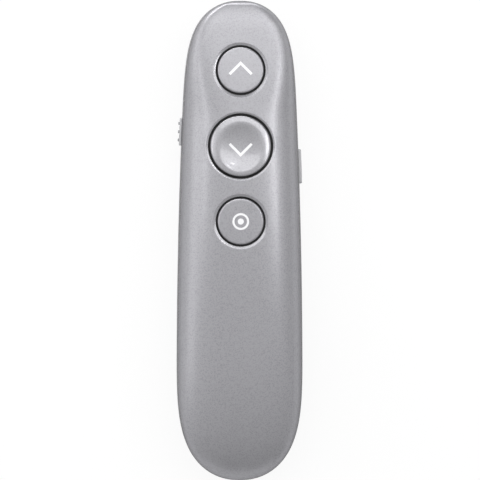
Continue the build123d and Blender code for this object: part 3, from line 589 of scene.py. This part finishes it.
def make_finishes(settings):
    """Every material, by the record's material slot."""
    paint = tuple(settings.paint)
    return {
        "silver_shell": metallic_paint("silver shell paint", paint, settings),
        "silver_lip": metallic_paint("silver lip paint", paint, settings, coat=1.0, roughness=0.25,
                                     coat_roughness=0.08),
        "silver_underside": metallic_paint("silver underside paint", tint(paint, 0.94), settings, coat=0.3,
                                           roughness=0.45),
        "key_silver": metallic_paint("silver key paint", tint(paint, 1.02), settings, roughness=0.34,
                                     coat_roughness=0.14),
        "glossy_key_silver": metallic_paint("glossy silver key paint", tint(paint, 1.02), settings, coat=1.0,
                                            roughness=0.34, coat_roughness=0.04),
        # dark unpainted plastic for the insides; on the holes' walls and the keys' flanges it is also
        # painted shade in the gaps around the keys
        "bare_plastic": moulded_plastic("unpainted black plastic", (0.13, 0.13, 0.134), roughness=0.55),
        "white_mark": printed_ink("white ink", tuple(settings.ink)),
        "grey_control": moulded_plastic("grey control plastic", (0.46, 0.46, 0.475), roughness=0.38),
        "rib_grey": moulded_plastic("worn rib plastic", (0.30, 0.30, 0.31), roughness=0.42),
        "black_bezel": moulded_plastic("black bezel plastic", (0.014, 0.014, 0.015), roughness=0.3),
        "window_clear": clear_plastic("smoked window", (0.10, 0.012, 0.012)),
        "brass_barrel": sheet_metal("turned brass", (0.72, 0.52, 0.22), brushed=(1.0, 8.0, 1.0)),
        "lens_clear": clear_plastic("clear lens", (0.95, 0.96, 0.97)),
        "steel_can": sheet_metal("bright steel", (0.62, 0.62, 0.63)),
        "nickel_contact": sheet_metal("nickel plate", (0.66, 0.63, 0.58), brushed=(6.0, 1.0, 1.0)),
        "gold_contact": sheet_metal("gold plate", (0.85, 0.60, 0.22), roughness=0.2),
        "board_green": circuit_board("green board"),
        "chip_black": moulded_plastic("black chip epoxy", (0.02, 0.02, 0.022), roughness=0.5),
        "plunger_white": moulded_plastic("white nylon", (0.72, 0.71, 0.68), roughness=0.5),
        "wire_red": wire_coat("red wire coat", (0.45, 0.02, 0.015)),
        "sleeve_grey": moulded_plastic("grey cell sleeve", (0.20, 0.21, 0.24), roughness=0.3),
        "tongue_white": moulded_plastic("white connector plastic", (0.75, 0.75, 0.73), roughness=0.4),
    }


FINISHES = {}


class FinishNodes(bpy.types.Operator):
    """Give every CAD node the finish of its material slot"""

    bl_idname = "clicker.finish_nodes"
    bl_label = "Finishes"

    def execute(self, context):
        FINISHES.update(make_finishes(context.scene.clicker_finish))
        for node in frame["nodes"].values():
            for place in node.material_slots:
                place.material = FINISHES[place.material.name.split(".")[0]]
        return {"FINISHED"}


# ---- Top shell ----

# slots for the lip, the skin and dark bare plastic; on the holes' walls the dark plastic is painted shade in
# the gaps around the keys
LIP_PLACE, SKIN_PLACE, BARE_AND_SHADE_PLACE = range(3)     # the casing's material slots
BAND = 10.8                  # half the width of the band that holds the key holes
BAND_SHARE = 0.66            # of the half width, where the body is narrower
BAND_CELLS = 36
FLANK_CELLS = 22
SLOT_CELLS = 4               # how many cells of the flank the slide's opening takes up from the seam
WINDOW_CELLS = 5             # and the side key's
MIDDLE_LEVEL = 0.55          # height of the row between the casing's edge and the openings' tops
LEVEL_SHARE = 0.05           # of the rise, which each level row stays under where the body is low
PATCH_HALF = {"previous": 8.6, "next": 10.5, "laser": 8.6}
PATCH_RINGS = 9
HOLE_RINGS = 4
LIP_POINTS = (5, 7)          # over the rounds before and after a lip's chamfer
NOSE_LINES = 30
NOSE_TRIALS = 4001
TAIL_ZONE = 20.0
TAIL_LINES = 30
TIP_CLEAR = 0.001            # the tail's last line keeps this far from the tip, where the width is 0


def band_half(y):
    """Half the width of the band at y: fixed, or a share of the half width where that is less."""
    return np.minimum(BAND, BAND_SHARE * half_width(y))


def flank_turns(y, edge_break):
    """Angles of the flank's rows on the squared ellipse, from the seam to the band.

    The first rows keep a height over the seam, so that the side openings have level edges, and the
    others share out the angle that is left."""
    rise = top_rise(y)
    edge_share = band_half(y) / half_width(y)
    last = np.arctan2(squared(edge_share, y), edge_share)
    levels = [0.0, edge_break * 0.3, edge_break, MIDDLE_LEVEL, SLOT_HALF_HIGH - SEAM_GAP / 2,
              WINDOW_HALF_HIGH - SEAM_GAP / 2]
    shares = [np.minimum(level / rise, LEVEL_SHARE * place) for place, level in enumerate(levels)]
    low = [np.arctan2(share, squared(share, y)) for share in shares]
    rest = FLANK_CELLS - len(low) + 1
    high = [low[-1] + (last - low[-1]) * (step + 1) / rest for step in range(rest)]
    return np.stack(low + high)


def top_rows(y, edge_break):
    """Shares of the width and of the rise for every row of the top, from the left seam to the right."""
    flank_x, flank_z = squared_turn(flank_turns(y, edge_break), y)
    band = np.linspace(-1, 1, BAND_CELLS + 1)[1:-1, None] * (band_half(y) / half_width(y))[None, :]
    across = np.concatenate([-flank_x, band, flank_x[::-1]])
    up = np.concatenate([flank_z, squared(band, y), flank_z[::-1]])
    return across, up


def shell_rise(y):
    """Height of the top shell's outer face over its own edge at the seam, on the centre line."""
    return np.maximum(top_rise(y) - SEAM_GAP / 2, 0)


def shell_z(x, y):
    """Height of the top shell's outer face over (x, y)."""
    return SEAM_Z + SEAM_GAP / 2 + shell_rise(y) * squared(x / half_width(y), y)


def top_point(across, up, y):
    """Points of the top shell's outer face for shares of its width and rise at y."""
    return across * half_width(y), y, SEAM_Z + SEAM_GAP / 2 + shell_rise(y) * up


def lip_profile(lip):
    """A lip's profile from the face to the hole, as distances inward and down: a small round, a
    straight chamfer and a small round into the hole's wall."""
    turn = math.radians(LIP_TILT)
    before, after = LIP_POINTS
    first, last = np.linspace(0, turn, before), np.linspace(turn, np.pi / 2, after)
    flat = lip - LIP_ROUND
    inward = np.concatenate([LIP_ROUND * np.sin(first), flat + LIP_ROUND * np.sin(last)])
    drop = np.concatenate([LIP_ROUND * (1 - np.cos(first)),
                           flat * math.tan(turn) + LIP_ROUND * (1 - np.cos(last))])
    return inward[:, None], drop[:, None]


def lip_ring(surface, name, edge_x, edge_y, hole_floor):
    """Close the top from a patch's edge to a key's hole.

    Rings run from the patch's edge to the lip's circle, then down its chamfer, and then straight down
    the hole. edge_x and edge_y go once around the patch."""
    centre, hole, lip = KEY_Y[name], HOLE_RADIUS[name], LIP[name]
    turn = np.arctan2(edge_y - centre, edge_x)
    circle_x, circle_y = np.cos(turn), np.sin(turn)
    share = np.linspace(0, 1, PATCH_RINGS)[:, None]
    outer = hole + lip
    x = edge_x * (1 - share) + outer * circle_x * share
    y = edge_y * (1 - share) + (centre + outer * circle_y) * share
    surface.grid(x, y, shell_z(x, y), round_trip=True, place=SKIN_PLACE)

    inward, drop = lip_profile(lip)
    radius = outer - inward
    x, y = radius * circle_x, centre + radius * circle_y
    lip_z = shell_z(x, y) - drop
    surface.grid(x, y, lip_z, round_trip=True, place=LIP_PLACE)
    depth = np.linspace(0, 1, HOLE_RINGS)[:, None]
    hole_z = lip_z[-1:] * (1 - depth) + hole_floor * depth
    # the hole's wall is dark unpainted plastic, which here is also painted shade in the gap between hole and
    # cap
    surface.grid(x[-1:], y[-1:], hole_z, round_trip=True, place=BARE_AND_SHADE_PLACE)


def around(array, rows, columns):
    """The values of an array once around the edge of a block of its cells, without a repeat."""
    block = array[rows[0]:rows[1] + 1, columns[0]:columns[1] + 1]
    return np.concatenate([block[0, :-1], block[:-1, -1], block[-1, :0:-1], block[:0:-1, 0]])


def sharpened(across, up, y):
    """Shares of width and rise on the section at y, along the same direction as across and up."""
    wide, high = squared_turn(np.arctan2(up, np.abs(across)), y)
    return np.sign(across) * wide, high


def nose_cut(across, up):
    """Distance from the nose's tip at which each row meets the bezel's bore."""
    trial = NOSE_ZONE * np.linspace(0, 1, NOSE_TRIALS)[None, 1:] ** 5
    y = HALF - trial
    wide, high = sharpened(across, up, y)
    radius = np.hypot(wide * half_width(y), high * top_rise(y))
    return np.array([[np.interp(BEZEL_BORE, row, trial[0])] for row in radius])


def patch_ends(name):
    """Where the patch around a key's hole starts and ends along Y."""
    return [KEY_Y[name] - PATCH_HALF[name], KEY_Y[name] + PATCH_HALF[name]]


def casing_lines(step):
    """Places of the casing's lines along Y: close together at the tail's tip, then no further apart
    than step, with a line at both ends of each patch and opening."""
    stops = [-HALF + TAIL_ZONE, *SLOT, *WINDOW, HALF - NOSE_ZONE]
    for name in KEY_NAMES:
        stops += patch_ends(name)
    tail = -HALF + TAIL_ZONE * np.linspace(0, 1, TAIL_LINES)[:-1] ** 2
    return np.concatenate([tail, steps_between(sorted(stops), step)])


def lines_at(places, y):
    """The number of the line nearest to each place."""
    return [int(np.argmin(np.abs(y - place))) for place in places]


class BuildTopShell(bpy.types.Operator):
    """Build the upper casing: crowned form, three lipped key holes, side openings and nose bore"""

    bl_idname = "clicker.top_shell"
    bl_label = "Top shell"

    def execute(self, context):
        body = context.scene.clicker_body
        y = casing_lines(body.mesh_step / MM)
        across, up = top_rows(np.maximum(y, -HALF + TIP_CLEAR), body.edge_break / MM)
        x, y_grid, z = top_point(across, up, np.broadcast_to(y, across.shape))

        surface = Surface()
        keep = np.ones((x.shape[0] - 1, x.shape[1] - 1), bool)
        rows = (FLANK_CELLS, FLANK_CELLS + BAND_CELLS)
        for name in KEY_NAMES:
            columns = lines_at(patch_ends(name), y)
            keep[rows[0]:rows[1], columns[0]:columns[1]] = False
            lip_ring(surface, name, around(x, rows, columns), around(y_grid, rows, columns), COLLAR_Z[name])
        keep[:SLOT_CELLS, slice(*lines_at(SLOT, y))] = False
        keep[-WINDOW_CELLS:, slice(*lines_at(WINDOW, y))] = False
        surface.grid(x, y_grid, z, keep=keep, place=SKIN_PLACE)

        last_across, last_up = across[:, -1:], up[:, -1:]
        cut = nose_cut(last_across, last_up)
        run = np.linspace(1, 0, NOSE_LINES)[None, :] ** 3
        y_nose = HALF - (cut + (NOSE_ZONE - cut) * run)
        nose = top_point(*sharpened(last_across, last_up, y_nose), y_nose)
        surface.grid(*nose, place=SKIN_PLACE)

        piece = surface.build("top_shell_casing", FINISHES["silver_lip"], FINISHES["silver_shell"],
                              FINISHES["bare_plastic"])
        wall = piece.modifiers.new("wall", "SOLIDIFY")
        wall.thickness = WALL * MM
        wall.offset = -1
        wall.material_offset = 1
        wall.material_offset_rim = 1
        wall.use_rim = True
        replace_node(piece, "top_shell")
        return {"FINISHED"}


# ---- Keys and their printed marks ----

CAP_SIDES = 128
FACE_RINGS = 34
EDGE_RINGS = 9
ARM_CELLS = (24, 4)          # along and over each arm of a chevron
DISC_SIDES = 72
DISC_RINGS = 6
MARK_JOIN = 0.0005           # the ink is thin, so fewer points are near enough to become one


def cap_z(name, x, y, dish_edge):
    """Height of a key's face: the body's form, a little proud.

    The middle key's face is the lower of that, sloping outward from a ring to the cap's edge, and a
    hollow whose depth goes as one less a power of the radius, rounded where the two meet."""
    face = top_z(x, y, CAP_PROUD)
    if name != "next":
        return face
    reach = np.hypot(x, y - KEY_Y[name])
    face = face - math.tan(math.radians(RIM_TILT)) * np.maximum(reach - RIM_CREST, 0)
    floor = top_z(0.0, KEY_Y[name], CAP_PROUD) - DISH_DEPTH
    hollow = floor + DISH_DEPTH * (reach / DISH_RADIUS) ** DISH_POWER
    return (face + hollow - np.sqrt((face - hollow) ** 2 + dish_edge**2)) / 2


def circles(name, radii, sides):
    """Places around a key's middle: each radius times the cosine and sine of each turn."""
    turn = np.linspace(0, 2 * np.pi, sides, endpoint=False)[None, :]
    return radii[:, None] * np.cos(turn), KEY_Y[name] + radii[:, None] * np.sin(turn)


def build_cap(name, body):
    """A hollow cap: its face, a quarter-round edge, the side, the stop flange and the inside.

    Each ring is a circle around the key's axis, with its own radius and height."""
    radius = CAP_RADIUS[name]
    flat = radius - CAP_EDGE
    arc = np.linspace(0, np.pi / 2, EDGE_RINGS)[1:]
    radii = np.concatenate([flat * np.linspace(0, 1, FACE_RINGS), flat + CAP_EDGE * np.sin(arc)])
    drop = np.concatenate([np.zeros(FACE_RINGS), CAP_EDGE * (1 - np.cos(arc))])[:, None]
    x, y = circles(name, radii, CAP_SIDES)
    z = cap_z(name, x, y, body.dish_edge / MM) - drop
    surface = Surface()
    surface.grid(x, y, z, round_trip=True)

    foot, roof = COLLAR_Z[name] - KEY_PLAY - FLANGE, z[0, 0] - CAP_ROOF
    flange, inside = HOLE_RADIUS[name] + FLANGE_REACH, radius - CAP_WALL
    rings = [(radius, foot + FLANGE), (flange, foot + FLANGE), (flange, foot), (inside, foot),
             (inside, roof), (0.0, roof)]
    heights = np.stack([z[-1]] + [np.full(z.shape[1], height) for _, height in rings])
    x, y = circles(name, np.array([radius] + [ring for ring, _ in rings]), CAP_SIDES)
    surface.grid(x[:2], y[:2], heights[:2], round_trip=True)
    # the flange and the inside are dark unpainted plastic; the flange's top, seen through the gap, is
    # painted shade there
    surface.grid(x[1:], y[1:], heights[1:], round_trip=True, place=1)
    paint = FINISHES["glossy_key_silver" if name == "next" else "key_silver"]
    piece = surface.build(f"{name}_key_cap", paint, FINISHES["bare_plastic"])
    replace_node(piece, f"{name}_key")


def ink_film(surface, name, x, y, body, round_trip=False):
    """A thin film of ink over a grid of places on a key's face, closed by its edges and underside."""
    face = cap_z(name, x, y, body.dish_edge / MM)
    low, high = face - INK / 4, face + INK
    surface.grid(x, y, high, round_trip=round_trip)
    surface.grid(x, y, low, round_trip=round_trip, flip=True)
    edges = [np.s_[0, :], np.s_[-1, ::-1]] + ([] if round_trip else [np.s_[::-1, 0], np.s_[:, -1]])
    for edge in edges:
        surface.grid(np.stack([x[edge], x[edge]]), np.stack([y[edge], y[edge]]),
                     np.stack([low[edge], high[edge]]), round_trip=round_trip)


def chevron(surface, name, way, body):
    """Two arms that meet at a right angle: each is the flat patch between its four corners.

    way is 1 for a chevron that points to the nose and -1 for one that points to the tail."""
    centre = KEY_Y[name] + CHEVRON_SHIFT[name]
    half, end, apex = CHEVRON_HALF, STROKE / 8**0.5, STROKE / 2**0.5
    along, over = np.meshgrid(*(np.linspace(0, 1, cells + 1) for cells in ARM_CELLS), indexing="ij")
    for side in (-1, 1):
        outer_x = (half + end) * (1 - along)
        outer_y = (half / 2 + apex) * along + (end - half / 2) * (1 - along)
        inner_x = (half - end) * (1 - along)
        inner_y = (half / 2 - apex) * along - (end + half / 2) * (1 - along)
        x = side * (outer_x * over + inner_x * (1 - over))
        y = centre + way * (outer_y * over + inner_y * (1 - over))
        if side * way < 0:
            x, y = x[::-1], y[::-1]
        ink_film(surface, name, x, y, body)


def disc(surface, name, inner, outer, body):
    """A ring around a key's middle or, with no inner radius, a dot."""
    x, y = circles(name, np.linspace(inner, outer, DISC_RINGS), DISC_SIDES)
    ink_film(surface, name, x, y, body, round_trip=True)


class BuildKeys(bpy.types.Operator):
    """Build the three thumb keys and the marks printed on them"""

    bl_idname = "clicker.keys"
    bl_label = "Keys"

    def execute(self, context):
        body = context.scene.clicker_body
        marks = {name: Surface() for name in KEY_NAMES}
        chevron(marks["previous"], "previous", 1, body)
        chevron(marks["next"], "next", -1, body)
        disc(marks["laser"], "laser", RING_IN, RING_OUT, body)
        disc(marks["laser"], "laser", 0.0, DOT, body)
        for name in KEY_NAMES:
            build_cap(name, body)
            mark = marks[name].build(f"{name}_key_print", FINISHES["white_mark"], join=MARK_JOIN)
            replace_node(mark, f"{name}_mark")
        return {"FINISHED"}


# ---- Side controls ----

CORNER_POINTS = 9
EDGE_POINTS = 6
OUTLINE_CORNER = 1.6         # a pad's corner radius in its outline, as a share of its edge's radius
LEAST_CORNER = 0.02
PAD_SCALES = (0.85, 0.6, 0.3, 0.0)       # of the rings over a pad's face, down to its middle


def rounded_rectangle(half_u, half_v, corner):
    """Outline of a rectangle with rounded corners, once around: each corner's middle plus a quarter
    turn of its radius."""
    turns = np.linspace(0, np.pi / 2, CORNER_POINTS)
    corners = ((1, 1), (-1, 1), (-1, -1), (1, -1))
    u = [side_u * (half_u - corner) + corner * np.cos(turns + quarter * np.pi / 2)
         for quarter, (side_u, _) in enumerate(corners)]
    v = [side_v * (half_v - corner) + corner * np.sin(turns + quarter * np.pi / 2)
         for quarter, (_, side_v) in enumerate(corners)]
    return np.concatenate(u), np.concatenate(v)


def side_block(surface, side, middle_y, half_long, half_high, inner, face, corner, crown=0.0, place=0):
    """A pad on the body's side: rounded corners and edge, a crowned face, and a back inside the wall.

    side is -1 for the left. inner and face are distances out from half_width(y), which the pad
    follows. Its rings shrink by a quarter round at the edge and then by scaling to the middle."""
    arc = np.linspace(0, np.pi / 2, EDGE_POINTS)
    shrink = np.concatenate([[0, 0], corner * (1 - np.cos(arc))[1:]])
    outward = np.concatenate([[inner, face - corner], face - corner + corner * np.sin(arc)[1:]])
    rings = []
    for gone, out in zip(shrink, outward):
        radius = max(corner * OUTLINE_CORNER - gone, LEAST_CORNER)
        rings.append((*rounded_rectangle(half_long - gone, half_high - gone, radius), out))
    last_u, last_v, _ = rings[-1]
    for scale in PAD_SCALES:
        rings.append((last_u * scale, last_v * scale, face + crown * (1 - scale**2)))
    y = middle_y + np.stack([u for u, _, _ in rings])
    z = SEAM_Z + np.stack([v for _, v, _ in rings])
    x = side * (half_width(y) + np.array([out for _, _, out in rings])[:, None])
    surface.grid(x, y, z, round_trip=True, flip=side < 0, place=place)


def brick(surface, low, high):
    """A box between two corners: its four sides as one band, then its floor and its top."""
    (x0, y0, z0), (x1, y1, z1) = low, high
    band_x, band_y = np.array([[x0, x1, x1, x0]]), np.array([[y0, y0, y1, y1]])
    surface.grid(band_x, band_y, np.array([[z0], [z1]]), round_trip=True)
    flat_x, flat_y = np.array([[x0, x1], [x0, x1]]), np.array([[y0, y0], [y1, y1]])
    surface.grid(flat_x, flat_y, z0, flip=True)
    surface.grid(flat_x, flat_y, z1)


class BuildSideControls(bpy.types.Operator):
    """Build the ribbed power slide and the side key"""

    bl_idname = "clicker.side_controls"
    bl_label = "Side controls"

    def execute(self, context):
        knob = Surface()
        side_block(knob, -1, KNOB_Y, KNOB_LONG / 2, KNOB_HIGH / 2, KNOB_GAP, KNOB_FACE, KNOB_CORNER)
        for step in (-1, 0, 1):
            side_block(knob, -1, KNOB_Y + step * RIB_PITCH, RIB_THICK / 2, RIB_HALF,
                       KNOB_FACE - OVERLAP, KNOB_FACE + RIB_HIGH, RIB_CORNER, place=1)
        brick(knob, (-half_width(KNOB_Y) - OVERLAP, KNOB_Y - STEM_HALF, SEAM_Z - STEM_HALF_HIGH),
              (STEM_DEEP - PLATE_X, KNOB_Y + STEM_HALF, SEAM_Z + STEM_HALF_HIGH))
        fork_low, fork_high = POWER_LEVER_Z - POWER_FORK, POWER_LEVER_Z + POWER_FORK
        for y0, y1, z0, z1 in ((-PLATE_HALF, PLATE_HALF, SEAM_Z - PLATE_DOWN, fork_low),
                               (-PLATE_HALF, PLATE_HALF, fork_high, SEAM_Z + PLATE_UP),
                               (-PLATE_HALF, -POWER_FORK, fork_low, fork_high),
                               (POWER_FORK, PLATE_HALF, fork_low, fork_high)):
            brick(knob, (-PLATE_X, KNOB_Y + y0, z0), (PLATE_THICK - PLATE_X, KNOB_Y + y1, z1))
        piece = knob.build("power_knob_slide", FINISHES["grey_control"], FINISHES["rib_grey"])
        replace_node(piece, "power_knob")

        key = Surface()
        side_block(key, 1, SIDE_KEY_Y, SIDE_KEY_LONG / 2, SIDE_KEY_HIGH / 2, SIDE_KEY_BACK,
                   SIDE_KEY_FACE, SIDE_KEY_CORNER, SIDE_KEY_CROWN)
        reach = SIDE_KEY_LONG / 2 + SIDE_FLANGE_REACH
        brick(key, (SIDE_FLANGE_X - SIDE_FLANGE_THICK, SIDE_KEY_Y - reach, SEAM_Z - SIDE_FLANGE_DOWN),
              (SIDE_FLANGE_X, SIDE_KEY_Y + reach, SEAM_Z + SIDE_FLANGE_UP))
        nub = SIDE_NUB_HALF
        brick(key, (SIDE_NUB_X, SIDE_KEY_Y - nub, SIDE_SWITCH_Z - nub),
              (SIDE_FLANGE_X - SIDE_FLANGE_THICK / 2, SIDE_KEY_Y + nub, SIDE_SWITCH_Z + nub))
        piece = key.build("side_key_pad", FINISHES["grey_control"])
        replace_node(piece, "side_key")
        return {"FINISHED"}


# ---- Stage ----

PAPER = (0.95, 0.95, 0.95)
FLOOR_HALF = 3.0             # metres
FLOOR_DROP = 0.0002          # metres below the body's underside, so that the two don't share a plane
CAMERA_LEAN = 1.5            # degrees to the left of straight above
CAMERA_SHIFT = (0.00013, 0.00016)        # metres, from the body's middle
SENSOR_WIDTH = 36.0
SHADOW_SHARE = 0.12          # how much of the floor's own light and shadow the camera sees
SOFTBOXES = [                # name, azimuth, elevation, distance, and width and height in metres
    ("front", 346, 8, 1.0, (1.2, 0.40)),
    ("left", 288, 22, 1.0, (0.9, 0.6)),
    ("right", 68, 35, 1.0, (0.6, 0.5)),
    ("top", 10, 62, 0.40, (0.5, 0.22)),
    ("back", 180, 10, 0.8, (1.0, 0.3)),
    ("strip", 86, 48, 0.13, (0.065, 0.012)),
    ("rim", 276, 46, 0.13, (0.065, 0.012)),
    ("pin", 28, 59, 0.6, (0.07, 0.02)),
]
ORIGIN = Vector((0, 0, 0))
KEY_AIM = Vector((0, KEY_Y["next"] * MM, 0.022))     # about the height of the middle key's face
AIMED_AT_KEY = ("strip", "rim", "pin")   # these lamps stand around KEY_AIM, the others around ORIGIN


def softbox(name, azimuth, elevation, distance, size, power, aim):
    """A rectangular lamp that faces aim. Azimuth turns from the nose towards +X, in degrees."""
    turn, lift = math.radians(azimuth), math.radians(elevation)
    outward = Vector((math.cos(lift) * math.sin(turn), math.cos(lift) * math.cos(turn), math.sin(lift)))
    data = bpy.data.lights.new(name, "AREA")
    data.shape = "RECTANGLE"
    data.size, data.size_y = size
    data.energy = power
    lamp = bpy.data.objects.new(name, data)
    bpy.context.scene.collection.objects.link(lamp)
    lamp.location = aim + outward * distance
    lamp.rotation_euler = outward.to_track_quat("Z", "Y").to_euler()
    lamp.visible_camera = False


def floor_finish(colour):
    """Floor paper: near white with the clicker's soft shadow where it is looked at, also in a
    reflection, and a duller grey to the light that bounces off it."""
    finish = Finish("floor paper")
    fibres = finish.noise(0.4, detail=3.0)
    dull = finish.node("ShaderNodeBsdfDiffuse", {
        "Color": finish.mix(fibres, tint(colour, 0.98), colour)}).outputs["BSDF"]
    paper = finish.node("ShaderNodeBsdfDiffuse", {"Color": finish.solid(PAPER)}).outputs["BSDF"]
    white = finish.node("ShaderNodeEmission", {"Color": (1, 1, 1, 1), "Strength": 1.0}).outputs[0]
    path = finish.node("ShaderNodeLightPath").outputs
    camera = Value(finish, path["Is Camera Ray"])
    seen = camera.at_least(path["Is Glossy Ray"]).at_least(path["Is Transmission Ray"])
    background = finish.node("ShaderNodeMixShader", {
        0: camera * (1 - SHADOW_SHARE), 1: paper, 2: white}).outputs["Shader"]
    shown = finish.node("ShaderNodeMixShader", {0: seen, 1: dull, 2: background}).outputs["Shader"]
    finish.node("ShaderNodeOutputMaterial", {"Surface": shown})
    return finish.material


def room(stage):
    """The world: the room's left and right glow most in their own direction, as the cube of a half
    cosine, and the sky as the square of the height."""
    world = Finish("room", bpy.data.worlds)
    parts = world.node("ShaderNodeSeparateXYZ", {"Vector": world.coordinates["Generated"]}).outputs
    x, z = Value(world, parts["X"]), Value(world, parts["Z"])
    left = (0.5 - x * 0.5) ** 3.0 * stage.left_room
    right = (0.5 + x * 0.5) ** 3.0 * stage.right_room
    strength = left + right + z.at_least(0.0) ** 2.0 * stage.sky_room
    glow = world.node("ShaderNodeBackground", {"Color": (1, 1, 1, 1), "Strength": strength})
    world.node("ShaderNodeOutputWorld", {"Surface": glow.outputs["Background"]})
    return world.material


class BuildStage(bpy.types.Operator):
    """Add the floor, the lamps, the room and the camera above"""

    bl_idname = "clicker.stage"
    bl_label = "Stage"

    def execute(self, context):
        stage = context.scene.clicker_stage
        mesh = bpy.data.meshes.new("floor")
        corners = ((-1, -1), (1, -1), (1, 1), (-1, 1))
        mesh.from_pydata([(x * FLOOR_HALF, y * FLOOR_HALF, -FLOOR_DROP) for x, y in corners], [],
                         [(0, 1, 2, 3)])
        mesh.materials.append(floor_finish(tuple(stage.floor)))
        floor = bpy.data.objects.new("floor", mesh)
        context.scene.collection.objects.link(floor)

        for name, *place in SOFTBOXES:
            power = getattr(stage, f"{name}_power")
            softbox(f"{name} softbox", *place, power, KEY_AIM if name in AIMED_AT_KEY else ORIGIN)

        context.scene.world = room(stage)
        context.scene.view_settings.view_transform = "Standard"

        camera = bpy.data.cameras.new("camera")
        camera.sensor_width = SENSOR_WIDTH
        camera.lens = stage.lens
        camera.clip_end = 100.0
        holder = bpy.data.objects.new("camera", camera)
        context.scene.collection.objects.link(holder)
        distance = stage.view_width * stage.lens / SENSOR_WIDTH
        lean = math.radians(CAMERA_LEAN)
        shift_x, shift_y = CAMERA_SHIFT
        holder.location = (shift_x - distance * math.sin(lean), shift_y,
                           SEAM_Z * MM + distance * math.cos(lean))
        holder.rotation_euler = (0, -lean, 0)
        context.scene.camera = holder
        return {"FINISHED"}


# ---- Add-on ----

class ClickerPanel(bpy.types.Panel):
    """Lists the clicker's operators and settings"""

    bl_idname = "VIEW3D_PT_clicker"
    bl_label = "Presentation clicker"
    bl_space_type = "VIEW_3D"
    bl_region_type = "UI"
    bl_category = "Clicker"

    def draw(self, context):
        for settings in SETTINGS:
            group = getattr(context.scene, settings)
            box = self.layout.box()
            for name in group.__annotations__:
                box.prop(group, name)
        for operator in OPERATORS:
            self.layout.operator(operator.bl_idname)


SETTINGS = {"clicker_finish": ClickerFinish, "clicker_body": ClickerBody, "clicker_stage": ClickerStage}
OPERATORS = (FinishNodes, BuildTopShell, BuildKeys, BuildSideControls, BuildStage)
CLASSES = (*SETTINGS.values(), *OPERATORS, ClickerPanel)


def register():
    for part in CLASSES:
        bpy.utils.register_class(part)
    for name, group in SETTINGS.items():
        setattr(bpy.types.Scene, name, PointerProperty(type=group))


def unregister():
    for name in SETTINGS:
        delattr(bpy.types.Scene, name)
    for part in reversed(CLASSES):
        bpy.utils.unregister_class(part)


def main():
    register()
    bpy.ops.clicker.finish_nodes()
    bpy.ops.clicker.top_shell()
    bpy.ops.clicker.keys()
    bpy.ops.clicker.side_controls()
    bpy.ops.clicker.stage()


if __name__ == "__main__":
    main()
